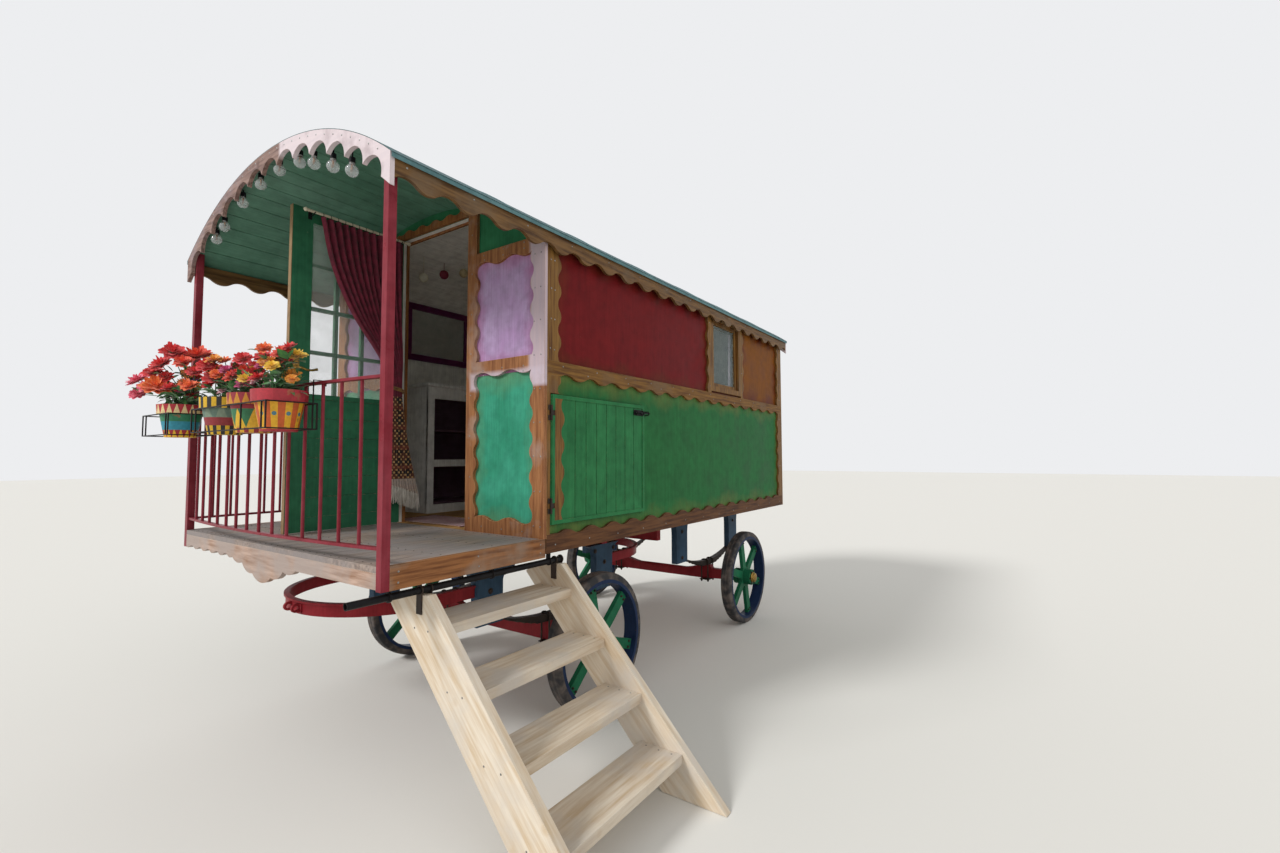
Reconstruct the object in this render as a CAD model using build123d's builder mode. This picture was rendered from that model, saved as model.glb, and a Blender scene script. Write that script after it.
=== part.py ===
from build123d import *
import math
import os

os.makedirs("parts", exist_ok=True)

# Living wagon with an open porch, a barrel roof and a steering fore-carriage.
# The origin is the axis of the drawbar pin, on the centre line.
# +X is forward, towards the porch, +Y is the left side, with the steps, and +Z is up.
# Lengths are in millimetres.

# Levels
wheelR = 460.0
groundZ = -870.0
axleZ = groundZ + wheelR
deckZ = 370.0
bodyBottomZ = deckZ - 86.0
boardThk = 28.0

# Plan sizes
deckFrontX = 160.0
porchDepth = 1000.0
bodyLength = 3840.0
wallFrontX = deckFrontX - porchDepth
wallRearX = wallFrontX - bodyLength
deckHalfW = 1150.0
wallThk = 40.0
trimThk = 22.0
wallHalfW = deckHalfW + 7.0 - trimThk
gap = 0.3

# Roof: one circular arc across the wagon
eaveOut = 60.0
roofHalfW = deckHalfW + eaveOut
roofEdgeZ = deckZ + 1808.0
roofRise = 400.0
roofR = (roofHalfW**2 + roofRise**2) / (2 * roofRise)
roofCentreZ = roofEdgeZ + roofRise - roofR
sheetThk = 3.0
liningThk = 18.0
liningHalfW = roofHalfW - 14.0
roofFrontOver = 25.0
roofRearOver = 105.0
roofFrontX = deckFrontX + roofFrontOver
roofRearX = wallRearX - roofRearOver
bargeThk = 22.0
liningR = roofR - sheetThk
wallTopR = liningR - liningThk

# Undercarriage
kingX = deckFrontX - 1660.0
rearOverhang = 740.0
rearAxleX = wallRearX + rearOverhang
railY = 520.0
railH = 110.0
railW = 60.0
railThk = 10.0
railTopZ = deckZ - boardThk
railBottomZ = railTopZ - railH
ringR = 460.0
ringW = 60.0
ringThk = 14.0
trackHalf = 1005.0
tyreW = 110.0
rimR = 412.0
hubR = 78.0
axleR = 30.0
hangerY = 575.0
hangerOff = 590.0
hangerTopW = 400.0
rearHangerTopW = 290.0
hangerLowW = 210.0
hangerThk = 60.0
hangerBottomZ = axleZ + 190.0
springSeatZ = axleZ + 80.0
springW = 60.0
leafThk = 9.0
leafCount = 6
beamEndY = 905.0
beamBottomZ = axleZ - 65.0
hubInY = 915.0
hubOutY = 1095.0
runClear = 0.05

# Steps: two stringers hung on a pipe under the deck edge
pipeIn = 40.0
pipeY = deckHalfW - pipeIn
pipeZ = deckZ - 142.0
pipeR = 17.0
pipeWall = 3.0
pipeX0, pipeX1 = deckFrontX - 1180.0, deckFrontX + 130.0
pipeHoleR = pipeR + 5.0
stringerThk = 45.0
stringerXs = (deckFrontX - 1142.5, deckFrontX - 242.5)
stepsFootZ = groundZ + 2.0
treadCount = 4
treadRise = 241.3
treadGo = 246.7
treadThk = 48.0
treadDepth = 250.0
firstTreadOut = 130.0
firstTreadY = pipeY + firstTreadOut
firstTreadZ = deckZ - 294.0

# Door: hinged on the right jamb, standing open at a right angle
doorLowY = -330.0
doorHighY = 444.0
doorTopZ = deckZ + 2070.0
doorThk = 34.0
doorClear = 6.0
hingeOut = 8.0
hingeX = wallFrontX + hingeOut
hingeY = doorLowY + 3.0

# Hatch low on the left side, hinged at the front corner
hatchFrontX = wallFrontX - 34.0
hatchRearX = deckFrontX - 2009.0
hatchLowZ = deckZ + 76.0
hatchTopZ = deckZ + 842.0
hatchThk = 24.0

# Trim heights
waistTopZ = deckZ + 1042.0
waistLowZ = deckZ + 955.0
bottomTopZ = deckZ + 22.0
cornerW = 105.0
valanceH = 88.0
valanceThk = 20.0

# Wavy edges of the trim boards
longPitch = 230.0
longWave = 15.0
uprightPitch = 152.0
uprightWave = 14.0

# Windows, standing just above the waist rail
windowFromRear = 1419.0
windowX = wallRearX + windowFromRear
windowW = 540.0
windowH = 610.0
windowFrame = 48.0
windowUp = 17.0
windowZ = waistTopZ + windowUp + windowFrame + windowH / 2


def roofZ(y, r):
    return roofCentreZ + math.sqrt(r * r - y * y)


def wave(start, end, level, height, pitch, upright=False):
    # arcs of a wavy edge: start, middle and end point of each half wave
    count = max(2, round(abs(end - start) / (pitch / 2)))
    step = (end - start) / count
    arcs = []
    for i in range(count):
        a, m, b = start + i * step, start + (i + 0.5) * step, start + (i + 1) * step
        crest = level + (height if i % 2 == 0 else -height)
        points = ((a, level), (m, crest), (b, level))
        arcs.append(tuple((v, u) for u, v in points) if upright else points)
    return arcs


def label(piece, name):
    piece.part.label = name
    export_step(piece.part, f"parts/{name}.step")


# Chassis: two channel rails on edge, tied by cross members
crossXs = (wallFrontX + 160, kingX - 620, rearAxleX + 560, rearAxleX - 500, deckFrontX - 160)
with BuildPart() as chassis:
    for side in (-1, 1):
        with BuildSketch(Plane.YZ.offset(wallRearX + 60)) as railProfile:
            with Locations((side * railY, railTopZ - railH / 2)):
                Rectangle(railW, railH)
            with Locations((side * (railY + railThk), railTopZ - railH / 2)):
                Rectangle(railW, railH - 2 * railThk, mode=Mode.SUBTRACT)
        extrude(amount=deckFrontX - 100 - (wallRearX + 60))
    for x in crossXs:
        with Locations((x, 0, railTopZ - railH / 2)):
            Box(50, 2 * railY - railW, railH - 20)
label(chassis, "chassis_frame")

# Turntable: upper ring under the chassis, lower ring on the fore-carriage
ringTopZ = railBottomZ
lowerRingTopZ = ringTopZ - ringThk - gap
for name, top in (("turntable_upper_ring", ringTopZ), ("turntable_lower_ring", lowerRingTopZ)):
    with BuildPart() as ring:
        with BuildSketch(Plane.XY.offset(top - ringThk)):
            with Locations((kingX, 0)):
                Circle(ringR + ringW / 2)
                Circle(ringR - ringW / 2, mode=Mode.SUBTRACT)
                Rectangle(90, 2 * ringR - ringW + 20)
                if name == "turntable_upper_ring":
                    Rectangle(2 * ringR - ringW + 20, 90)
        extrude(amount=ringThk)
    label(ring, name)

# Fore-carriage frame: cross beams under the lower ring
frameTopZ = lowerRingTopZ - ringThk
beamH = 70.0
beamW = 70.0
with BuildPart() as foreFrame:
    for end in (-1, 1):
        with Locations((kingX + end * hangerOff, 0, frameTopZ - beamH / 2)):
            Box(beamW, 2 * hangerY + hangerThk, beamH)
    with Locations((kingX, 0, frameTopZ - beamH / 2)):
        Box(2 * hangerOff, 90, beamH)
        Box(90, 2 * ringR, beamH)
label(foreFrame, "fore_carriage_frame")

# Half-round hoops, butted on the front and rear hangers
hoopTopZ = deckZ - 330.0
hoopH = 75.0
hoopThk = 12.0
flangeW = 32.0
lugReach = 19.0
hoopR = hangerY
hoopOff = -kingX - hoopR - hoopThk / 2 - lugReach
hoopEndOff = hangerOff + hangerLowW / 2 + gap
with BuildPart() as hoops:
    for end in (-1, 1):
        for z, h, w in ((hoopTopZ - hoopH, hoopH, hoopThk), (hoopTopZ - hoopThk, hoopThk, flangeW)):
            with BuildSketch(Plane.XY.offset(z)):
                with Locations((kingX + end * hoopOff, 0)):
                    Circle(hoopR + w / 2)
                    Circle(hoopR - w / 2, mode=Mode.SUBTRACT)
                with Locations((kingX + end * hoopOff - end * hoopR, 0)):
                    Rectangle(2 * hoopR, 3 * hoopR, mode=Mode.SUBTRACT)
                for side in (-1, 1):
                    with Locations((kingX + end * (hoopOff + hoopEndOff) / 2, side * hoopR)):
                        Rectangle(hoopOff - hoopEndOff, w)
            extrude(amount=h)
label(hoops, "fore_hoops")

# Hangers: flared brackets that carry the spring ends
hangerTable = (
    # name, axle x, top level, width at the top
    ("fore_hangers", kingX, frameTopZ - beamH, hangerTopW),
    ("rear_hangers", rearAxleX, railBottomZ, rearHangerTopW),
)
neckZ = hoopTopZ + 5
for name, x0, topZ, topW in hangerTable:
    with BuildPart() as hangers:
        for y in (-hangerY, hangerY):
            with BuildSketch(Plane.XZ.offset(-y)):
                for x in (x0 - hangerOff, x0 + hangerOff):
                    neck, top = hangerLowW / 2, topW / 2
                    midZ = (neckZ + topZ) / 2 - 6
                    with BuildLine():
                        Polyline((x - neck, neckZ), (x - neck, hangerBottomZ), (x + neck, hangerBottomZ),
                                 (x + neck, neckZ))
                        bulge = 0.19 * (top - neck)
                        ThreePointArc((x + neck, neckZ), (x + neck + bulge, midZ), (x + top, topZ))
                        Line((x + top, topZ), (x - top, topZ))
                        ThreePointArc((x - top, topZ), (x - neck - bulge, midZ), (x - neck, neckZ))
                    make_face()
            extrude(amount=hangerThk / 2, both=True)
    label(hangers, name)

# Leaf springs between the hangers, seated on the axle beam
springTopZ = springSeatZ + leafCount * leafThk
springHalf = hangerOff - hangerLowW / 2 - gap
springRise = 70.0
springR = (springHalf**2 + springRise**2) / (2 * springRise)
for name, x0 in (("fore_springs", kingX), ("rear_springs", rearAxleX)):
    with BuildPart() as springs:
        for y in (-hangerY, hangerY):
            with BuildSketch(Plane.XZ.offset(-y)):
                for i in range(leafCount):
                    reach = springHalf * (1 - 0.13 * i)
                    r1 = springR + i * leafThk
                    r2 = r1 + leafThk
                    zc = springTopZ + springR
                    a1, a2 = math.asin(reach / r1), math.asin(reach / r2)
                    with BuildLine():
                        low = (x0 - r2 * math.sin(a2), zc - r2 * math.cos(a2))
                        high = (x0 + r2 * math.sin(a2), zc - r2 * math.cos(a2))
                        ThreePointArc(low, (x0, zc - r2), high)
                        Line(high, (x0 + r1 * math.sin(a1), zc - r1 * math.cos(a1)))
                        ThreePointArc((x0 + r1 * math.sin(a1), zc - r1 * math.cos(a1)), (x0, zc - r1),
                                      (x0 - r1 * math.sin(a1), zc - r1 * math.cos(a1)))
                        Line((x0 - r1 * math.sin(a1), zc - r1 * math.cos(a1)), low)
                    make_face()
            extrude(amount=springW / 2, both=True)
    label(springs, name)

# Axle beams: flat below, hollowed above between the spring seats, with round stubs
for name, x0 in (("front_axle", kingX), ("rear_axle", rearAxleX)):
    with BuildPart() as axle:
        with BuildSketch(Plane.YZ.offset(x0 - 30)):
            with BuildLine():
                Polyline((beamEndY, axleZ + 45), (beamEndY, axleZ - 45), (hangerY - 60, beamBottomZ),
                         (60 - hangerY, beamBottomZ), (-beamEndY, axleZ - 45), (-beamEndY, axleZ + 45),
                         (-hangerY - 70, axleZ + 45), (-hangerY - 45, springSeatZ),
                         (45 - hangerY, springSeatZ))
                ThreePointArc((45 - hangerY, springSeatZ), (-260, axleZ + 18), (0, axleZ + 10))
                ThreePointArc((0, axleZ + 10), (260, axleZ + 18), (hangerY - 45, springSeatZ))
                Polyline((hangerY - 45, springSeatZ), (hangerY + 45, springSeatZ),
                         (hangerY + 70, axleZ + 45), (beamEndY, axleZ + 45))
            make_face()
        extrude(amount=60)
        with BuildSketch(Plane.XZ.offset(-hubOutY - 6)):
            with Locations((x0, axleZ)):
                Circle(axleR)
        extrude(amount=2 * (hubOutY + 6))
        for y in (-hubOutY - 16, hubOutY + 6):
            with BuildSketch(Plane.XZ.offset(-y)):
                with Locations((x0, axleZ)):
                    Circle(46)
            extrude(amount=-10)
    label(axle, name)

# Wheels: hub, six broad spokes and a rim, with a solid tyre on each
wheelTable = (
    # name, axle x, side
    ("front_left", kingX, 1),
    ("front_right", kingX, -1),
    ("rear_left", rearAxleX, 1),
    ("rear_right", rearAxleX, -1),
)
rimThk = 24.0
spokeW = 72.0
spokeThk = 34.0
spokeCount = 6
firstSpoke = 18.0
tyreFlankAngle = 76.0
for name, x0, side in wheelTable:
    with BuildPart() as wheel:
        with BuildSketch(Plane.XZ.offset(-side * trackHalf)):
            with Locations((x0, axleZ)):
                Circle(rimR)
                Circle(rimR - rimThk, mode=Mode.SUBTRACT)
        extrude(amount=tyreW / 2, both=True)
        with BuildSketch(Plane.XZ.offset(-side * trackHalf)):
            with Locations((x0, axleZ)):
                Circle(hubR + 20)
                with PolarLocations(rimR / 2, spokeCount, start_angle=firstSpoke):
                    Rectangle(rimR - 8, spokeW)
        extrude(amount=spokeThk / 2, both=True)
        with BuildSketch(Plane.XZ.offset(-side * hubInY)):
            with Locations((x0, axleZ)):
                Circle(hubR)
        extrude(amount=-side * (hubOutY - hubInY))
        with BuildSketch(Plane.XZ.offset(-side * (hubInY - 1))):
            with Locations((x0, axleZ)):
                Circle(axleR + runClear)
        extrude(amount=-side * (hubOutY - hubInY + 2), mode=Mode.SUBTRACT)
    label(wheel, f"wheel_{name}")
    with BuildPart() as tyre:
        with BuildSketch(Plane.YZ.offset(x0)):
            with Locations((side * trackHalf, axleZ + (rimR + wheelR) / 2)):
                Trapezoid(tyreW, wheelR - rimR, tyreFlankAngle)
        revolve(axis=Axis((x0, 0, axleZ), (0, 1, 0)))
    label(tyre, f"tyre_{name}")

# Drawbar lugs on the front hoop, bored for the drawbar pin
lugR = 24.0
lugThk = 16.0
lugGap = 70.0
pinR = 12.5
pinClear = 4.0
hoopFrontX = kingX + hoopOff + hoopR + hoopThk / 2
with BuildPart() as lugs:
    for side in (-1, 1):
        with BuildSketch(Plane.XZ.offset(-side * (lugGap + lugThk) / 2)):
            Circle(lugR)
            with Locations((hoopFrontX / 2 - 4, 0)):
                Rectangle(8 - hoopFrontX, 2 * lugR)
            Circle(pinR, mode=Mode.SUBTRACT)
        extrude(amount=lugThk / 2, both=True)
    with BuildSketch(Plane.XY.offset(-lugR)):
        with Locations(((hoopFrontX - 8 - pinR - pinClear) / 2, 0)):
            Rectangle(-pinR - pinClear - hoopFrontX + 8, lugGap + 2 * lugThk + 40)
    extrude(amount=2 * lugR)
    with Locations((kingX + hoopOff, 0, 0)):
        Cylinder(hoopR + hoopThk / 2 + gap, 3 * lugR, mode=Mode.SUBTRACT)
label(lugs, "drawbar_lugs")

# Floors: porch boards with open joints cut from above, and the cabin floor
grooveW = 4.0
grooveDepth = 6.0
boardCount = 16
fasciaThk = 30.0
deckInnerW = deckHalfW - fasciaThk
postW = 40.0
with BuildPart() as porch:
    with BuildSketch(Plane.XY.offset(deckZ - boardThk)):
        with Locations(((wallFrontX + deckFrontX) / 2, 0)):
            Rectangle(porchDepth, 2 * deckInnerW)
        for side in (-1, 1):
            with Locations((deckFrontX - postW / 2, side * (deckHalfW - postW / 2))):
                Rectangle(postW, postW, mode=Mode.SUBTRACT)
    extrude(amount=boardThk)
    with BuildSketch(Plane.XY.offset(deckZ)):
        with Locations(((wallFrontX + deckFrontX) / 2, 0)):
            with GridLocations(1, 2 * deckInnerW / boardCount, 1, boardCount - 1):
                Rectangle(porchDepth, grooveW)
    extrude(amount=-grooveDepth, mode=Mode.SUBTRACT)
label(porch, "porch_deck")

with BuildPart() as cabinFloor:
    with Locations(((wallFrontX + wallRearX) / 2, 0, deckZ - boardThk / 2)):
        Box(bodyLength, 2 * (wallHalfW - wallThk), boardThk)
label(cabinFloor, "cabin_floor")

# Porch fascias
fasciaH = 107.0
with BuildPart() as sideFascias:
    for side in (-1, 1):
        with Locations(((wallFrontX + deckFrontX - postW) / 2, side * (deckHalfW - fasciaThk / 2),
                        deckZ - fasciaH / 2)):
            Box(porchDepth - postW, fasciaThk, fasciaH)
label(sideFascias, "porch_side_fascias")

frontFasciaTopZ = deckZ - boardThk
frontFasciaH = 72.0
frontFasciaZ = frontFasciaTopZ - frontFasciaH
frontFasciaThk = 28.0
scallopPitch = 130.0
scallopH = 9.0
lobeTable = (
    # end of the lobe, its level, and the middle of the lobe's arc, from the board's lower edge
    (-250.0, -18.0, -318.0, -27.0),
    (-112.0, -66.0, -186.0, -62.0),
    (112.0, -66.0, 0.0, -104.0),
    (250.0, -18.0, 186.0, -62.0),
    (385.0, 0.0, 318.0, -27.0),
)
with BuildPart() as frontFascia:
    fasciaEnd = deckHalfW - postW
    with BuildSketch(Plane.YZ.offset(deckFrontX - frontFasciaThk)):
        with BuildLine():
            Polyline((lobeTable[-1][0], frontFasciaZ), (fasciaEnd, frontFasciaZ),
                     (fasciaEnd, frontFasciaTopZ), (-fasciaEnd, frontFasciaTopZ), (-fasciaEnd, frontFasciaZ))
            for arc in wave(-fasciaEnd, -lobeTable[-1][0], frontFasciaZ, -scallopH, scallopPitch):
                ThreePointArc(*arc)
            y, z = -lobeTable[-1][0], frontFasciaZ
            for endY, endZ, midY, midZ in lobeTable:
                ThreePointArc((y, z), (midY, frontFasciaZ + midZ), (endY, frontFasciaZ + endZ))
                y, z = endY, frontFasciaZ + endZ
        make_face()
        with Locations((pipeY, pipeZ)):
            Circle(pipeHoleR, mode=Mode.SUBTRACT)
    extrude(amount=frontFasciaThk)
label(frontFascia, "porch_front_fascia")

# Porch posts, cut to the underside of the roof boards
with BuildPart() as posts:
    for side in (-1, 1):
        y0, y1 = side * deckHalfW, side * (deckHalfW - postW)
        with BuildSketch(Plane.YZ.offset(deckFrontX - postW)):
            with BuildLine():
                Polyline((y0, roofZ(y0, wallTopR)), (y0, deckZ - fasciaH), (y1, deckZ - fasciaH),
                         (y1, roofZ(y1, wallTopR)))
                RadiusArc((y1, roofZ(y1, wallTopR)), (y0, roofZ(y0, wallTopR)), side * wallTopR)
            make_face()
        extrude(amount=postW)
label(posts, "porch_posts")

# Front railing, bowed forward in plan, with round bars between two rails
railTop = deckZ + 834.0
railLow = deckZ + 75.0
bow = 68.0
barR = 8.0
barCount = 14
railBarH = 14.0
railBarW = 26.0
spanY = deckHalfW - postW
bowR = (spanY**2 + bow**2) / (2 * bow)
bowCx = deckFrontX - postW / 2 + bow - bowR
bowA = math.degrees(math.asin(spanY / bowR))
with BuildPart() as frontRail:
    for z in (railLow, railTop):
        with BuildSketch(Plane.XY.offset(z - railBarH / 2)):
            with Locations((bowCx, 0)):
                Circle(bowR + railBarW / 2)
                Circle(bowR - railBarW / 2, mode=Mode.SUBTRACT)
            with Locations((deckFrontX, 0)):
                Rectangle(400, 2 * spanY, mode=Mode.INTERSECT)
        extrude(amount=railBarH)
    with BuildSketch(Plane.XY.offset(railLow)):
        with Locations((bowCx, 0)):
            step = 2 * bowA / (barCount + 1)
            with PolarLocations(bowR, barCount, start_angle=step - bowA, angular_range=step * (barCount - 1),
                                endpoint=True):
                Circle(barR)
    extrude(amount=railTop - railLow)
label(frontRail, "front_railing")

# Railing on the right side of the porch
sideBars = 8
railRearX, railFrontX = wallFrontX + trimThk, deckFrontX - postW
with BuildPart() as sideRail:
    for z in (railLow, railTop):
        with Locations(((railRearX + railFrontX) / 2, -(deckHalfW - postW / 2), z)):
            Box(railFrontX - railRearX, railBarW, railBarH)
    with BuildSketch(Plane.XY.offset(railLow)):
        with Locations(((railRearX + railFrontX) / 2, -(deckHalfW - postW / 2))):
            with GridLocations((railFrontX - railRearX) / (sideBars + 1), 1, sideBars, 1):
                Circle(barR)
    extrude(amount=railTop - railLow)
label(sideRail, "side_railing")

# Walls, each as thick as the real wall, cut to the roof boards
windowTable = (
    # wall, centre along it, centre height, width, height
    ("side", windowX, windowZ, windowW, windowH),
    ("rear", 0.0, windowZ, windowW, windowH),
)
for name, side in (("left_wall", 1), ("right_wall", -1)):
    with BuildPart() as wall:
        y0, y1 = side * (wallHalfW - wallThk), side * wallHalfW
        with BuildSketch(Plane.YZ.offset(wallRearX)):
            with BuildLine():
                Polyline((y0, roofZ(y0, wallTopR)), (y0, bodyBottomZ), (y1, bodyBottomZ),
                         (y1, roofZ(y1, wallTopR)))
                RadiusArc((y1, roofZ(y1, wallTopR)), (y0, roofZ(y0, wallTopR)), -side * wallTopR)
            make_face()
        extrude(amount=bodyLength)
        with BuildSketch(Plane.XZ.offset(-y0)):
            with Locations((windowX, windowZ)):
                Rectangle(windowW, windowH)
            if side > 0:
                with Locations(((hatchFrontX + hatchRearX) / 2, (hatchLowZ + hatchTopZ) / 2)):
                    Rectangle(hatchFrontX - hatchRearX + 2 * doorClear,
                              hatchTopZ - hatchLowZ + 2 * doorClear)
        extrude(amount=-side * wallThk, mode=Mode.SUBTRACT)
    label(wall, name)

endHalf = wallHalfW - wallThk
for name, x0 in (("front_wall", wallFrontX - wallThk), ("rear_wall", wallRearX)):
    with BuildPart() as wall:
        with BuildSketch(Plane.YZ.offset(x0)):
            with BuildLine():
                Polyline((-endHalf, roofZ(endHalf, wallTopR)), (-endHalf, deckZ), (endHalf, deckZ),
                         (endHalf, roofZ(endHalf, wallTopR)))
                RadiusArc((endHalf, roofZ(endHalf, wallTopR)), (-endHalf, roofZ(endHalf, wallTopR)),
                          -wallTopR)
            make_face()
            if name == "front_wall":
                with Locations(((doorLowY + doorHighY) / 2, (deckZ + doorTopZ) / 2)):
                    Rectangle(doorHighY - doorLowY, doorTopZ - deckZ, mode=Mode.SUBTRACT)
            else:
                with Locations((0, windowZ)):
                    Rectangle(windowW, windowH, mode=Mode.SUBTRACT)
        extrude(amount=wallThk)
    label(wall, name)

# Roof: metal sheet over tongued boards
roofBoardCount = 20
roofGrooveW = 6.0
roofGrooveDepth = 4.0
roofTable = (
    # name, outer radius, half width, thickness, rear end, front end
    ("roof_sheet", roofR, roofHalfW, sheetThk, roofRearX, roofFrontX),
    ("roof_boards", liningR, liningHalfW, liningThk, roofRearX + bargeThk, roofFrontX - bargeThk),
)
for name, r, half, thk, x0, x1 in roofTable:
    with BuildPart() as roof:
        with BuildSketch(Plane.YZ.offset(x0)):
            with Locations((0, roofCentreZ)):
                Circle(r)
                Circle(r - thk, mode=Mode.SUBTRACT)
            with Locations((0, roofEdgeZ + roofRise / 2)):
                Rectangle(2 * half, 3 * roofRise, mode=Mode.INTERSECT)
            if name == "roof_boards":
                spread = 2 * math.degrees(math.asin(half / r)) / roofBoardCount
                with Locations((0, roofCentreZ)):
                    with PolarLocations(wallTopR, roofBoardCount - 1,
                                        start_angle=90 - spread * (roofBoardCount - 2) / 2,
                                        angular_range=spread * (roofBoardCount - 2), endpoint=True):
                        Rectangle(2 * roofGrooveDepth, roofGrooveW, mode=Mode.SUBTRACT)
        extrude(amount=x1 - x0)
    label(roof, name)

# Arched bargeboards with scalloped lower edges
bargeH = 120.0
bargeCut = 98.0
bargeCutDrop = 33.0
bargeCount = 13
bargeA = math.degrees(math.asin(liningHalfW / liningR))
for name, x0 in (("front_bargeboard", roofFrontX - bargeThk), ("rear_bargeboard", roofRearX)):
    with BuildPart() as barge:
        with BuildSketch(Plane.YZ.offset(x0)):
            with Locations((0, roofCentreZ)):
                Circle(liningR)
                Circle(liningR - bargeH, mode=Mode.SUBTRACT)
            with Locations((0, roofEdgeZ + roofRise / 2 - 100)):
                Rectangle(2 * liningHalfW, 3 * roofRise + 200, mode=Mode.INTERSECT)
            with Locations((0, roofCentreZ)):
                step = 2 * bargeA / bargeCount
                with PolarLocations(liningR - bargeH - bargeCutDrop, bargeCount,
                                    start_angle=90 - bargeA + step / 2,
                                    angular_range=step * (bargeCount - 1), endpoint=True):
                    Circle(bargeCut, mode=Mode.SUBTRACT)
        extrude(amount=bargeThk)
    label(barge, name)

# Eave valances along both sides, wavy below
valanceTopZ = roofZ(liningHalfW, wallTopR) - gap
valanceWave = 20.0
valanceX0, valanceX1 = roofRearX + bargeThk, roofFrontX - bargeThk
with BuildPart() as valances:
    for side in (-1, 1):
        with BuildSketch(Plane.XZ.offset(-side * (liningHalfW - valanceThk))):
            with BuildLine():
                Polyline((valanceX1, valanceTopZ - valanceH), (valanceX1, valanceTopZ),
                         (valanceX0, valanceTopZ), (valanceX0, valanceTopZ - valanceH))
                for arc in wave(valanceX0, valanceX1, valanceTopZ - valanceH, valanceWave, longPitch):
                    ThreePointArc(*arc)
            make_face()
        extrude(amount=-side * valanceThk)
label(valances, "eave_valances")

# Trim boards on the sides: corners, waist and bottom
sideTrimTopZ = roofZ(wallHalfW + trimThk, wallTopR) - gap
hatchPostW = wallFrontX - hatchFrontX - doorClear
windowHalf = windowW / 2 + windowFrame
windowPostW = 60.0
cornerSpans = (
    # side, outer edge, direction inwards, width, low level, high level
    (1, wallFrontX, -1, cornerW, hatchTopZ + doorClear, waistLowZ),
    (1, wallFrontX, -1, cornerW, waistTopZ, sideTrimTopZ),
    (1, windowX + windowHalf + gap, 1, windowPostW, waistTopZ, sideTrimTopZ),
    (1, windowX - windowHalf - gap, -1, windowPostW, waistTopZ, sideTrimTopZ),
    (1, wallRearX, 1, cornerW, bottomTopZ, waistLowZ),
    (1, wallRearX, 1, cornerW, waistTopZ, sideTrimTopZ),
    (-1, wallFrontX, -1, cornerW, bottomTopZ, waistLowZ),
    (-1, wallFrontX, -1, cornerW, waistTopZ, sideTrimTopZ),
    (-1, windowX + windowHalf + gap, 1, windowPostW, waistTopZ, sideTrimTopZ),
    (-1, windowX - windowHalf - gap, -1, windowPostW, waistTopZ, sideTrimTopZ),
    (-1, wallRearX, 1, cornerW, bottomTopZ, waistLowZ),
    (-1, wallRearX, 1, cornerW, waistTopZ, sideTrimTopZ),
)
with BuildPart() as corners:
    for side, x, inward, width, low, high in cornerSpans:
        inner = x + inward * width
        with BuildSketch(Plane.XZ.offset(-side * wallHalfW)):
            with BuildLine():
                Polyline((inner, high), (x, high), (x, low), (inner, low))
                for arc in wave(low, high, inner, uprightWave, uprightPitch, upright=True):
                    ThreePointArc(*arc)
            make_face()
        extrude(amount=-side * trimThk)
    postLowZ, postTopZ = bottomTopZ, hatchTopZ + doorClear
    with Locations((wallFrontX - hatchPostW / 2, wallHalfW + trimThk / 2, (postLowZ + postTopZ) / 2)):
        Box(hatchPostW, trimThk, postTopZ - postLowZ)
    # rear corners, lapped over the ends of the side boards
    for side in (-1, 1):
        outer, inner = side * (wallHalfW + trimThk), side * (wallHalfW - cornerW)
        for low, high in ((bodyBottomZ, bottomTopZ), (bottomTopZ, waistLowZ), (waistLowZ, waistTopZ),
                          (waistTopZ, roofZ(wallHalfW + trimThk, wallTopR) - gap)):
            with BuildSketch(Plane.YZ.offset(wallRearX - gap)):
                with BuildLine():
                    Polyline((inner, high), (outer, high), (outer, low), (inner, low))
                    if low in (bottomTopZ, waistTopZ):
                        for arc in wave(low, high, inner, uprightWave, uprightPitch, upright=True):
                            ThreePointArc(*arc)
                    else:
                        Line((inner, low), (inner, high))
                make_face()
            extrude(amount=-trimThk)
label(corners, "side_corner_boards")

trimTable = (
    # name, straight level, wavy level
    ("waist_rails", waistTopZ, waistLowZ),
    ("bottom_boards", bodyBottomZ, bottomTopZ),
)
waveX0, waveX1 = wallRearX + cornerW + uprightWave, wallFrontX - cornerW - uprightWave
for name, straightZ, wavyZ in trimTable:
    with BuildPart() as boards:
        for side in (-1, 1):
            with BuildSketch(Plane.XZ.offset(-side * wallHalfW)):
                with BuildLine():
                    Polyline((waveX1, wavyZ), (wallFrontX, wavyZ), (wallFrontX, straightZ),
                             (wallRearX, straightZ), (wallRearX, wavyZ), (waveX0, wavyZ))
                    for arc in wave(waveX0, waveX1, wavyZ, longWave, longPitch):
                        ThreePointArc(*arc)
                make_face()
            extrude(amount=-side * trimThk)
        # the same board across the rear wall
        rearHalf = wallHalfW - cornerW - gap
        waveHalf = rearHalf - uprightWave
        with BuildSketch(Plane.YZ.offset(wallRearX - gap)):
            with BuildLine():
                Polyline((waveHalf, wavyZ), (rearHalf, wavyZ), (rearHalf, straightZ), (-rearHalf, straightZ),
                         (-rearHalf, wavyZ), (-waveHalf, wavyZ))
                for arc in wave(-waveHalf, waveHalf, wavyZ, longWave, longPitch):
                    ThreePointArc(*arc)
            make_face()
        extrude(amount=-trimThk)
    label(boards, name)

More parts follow.
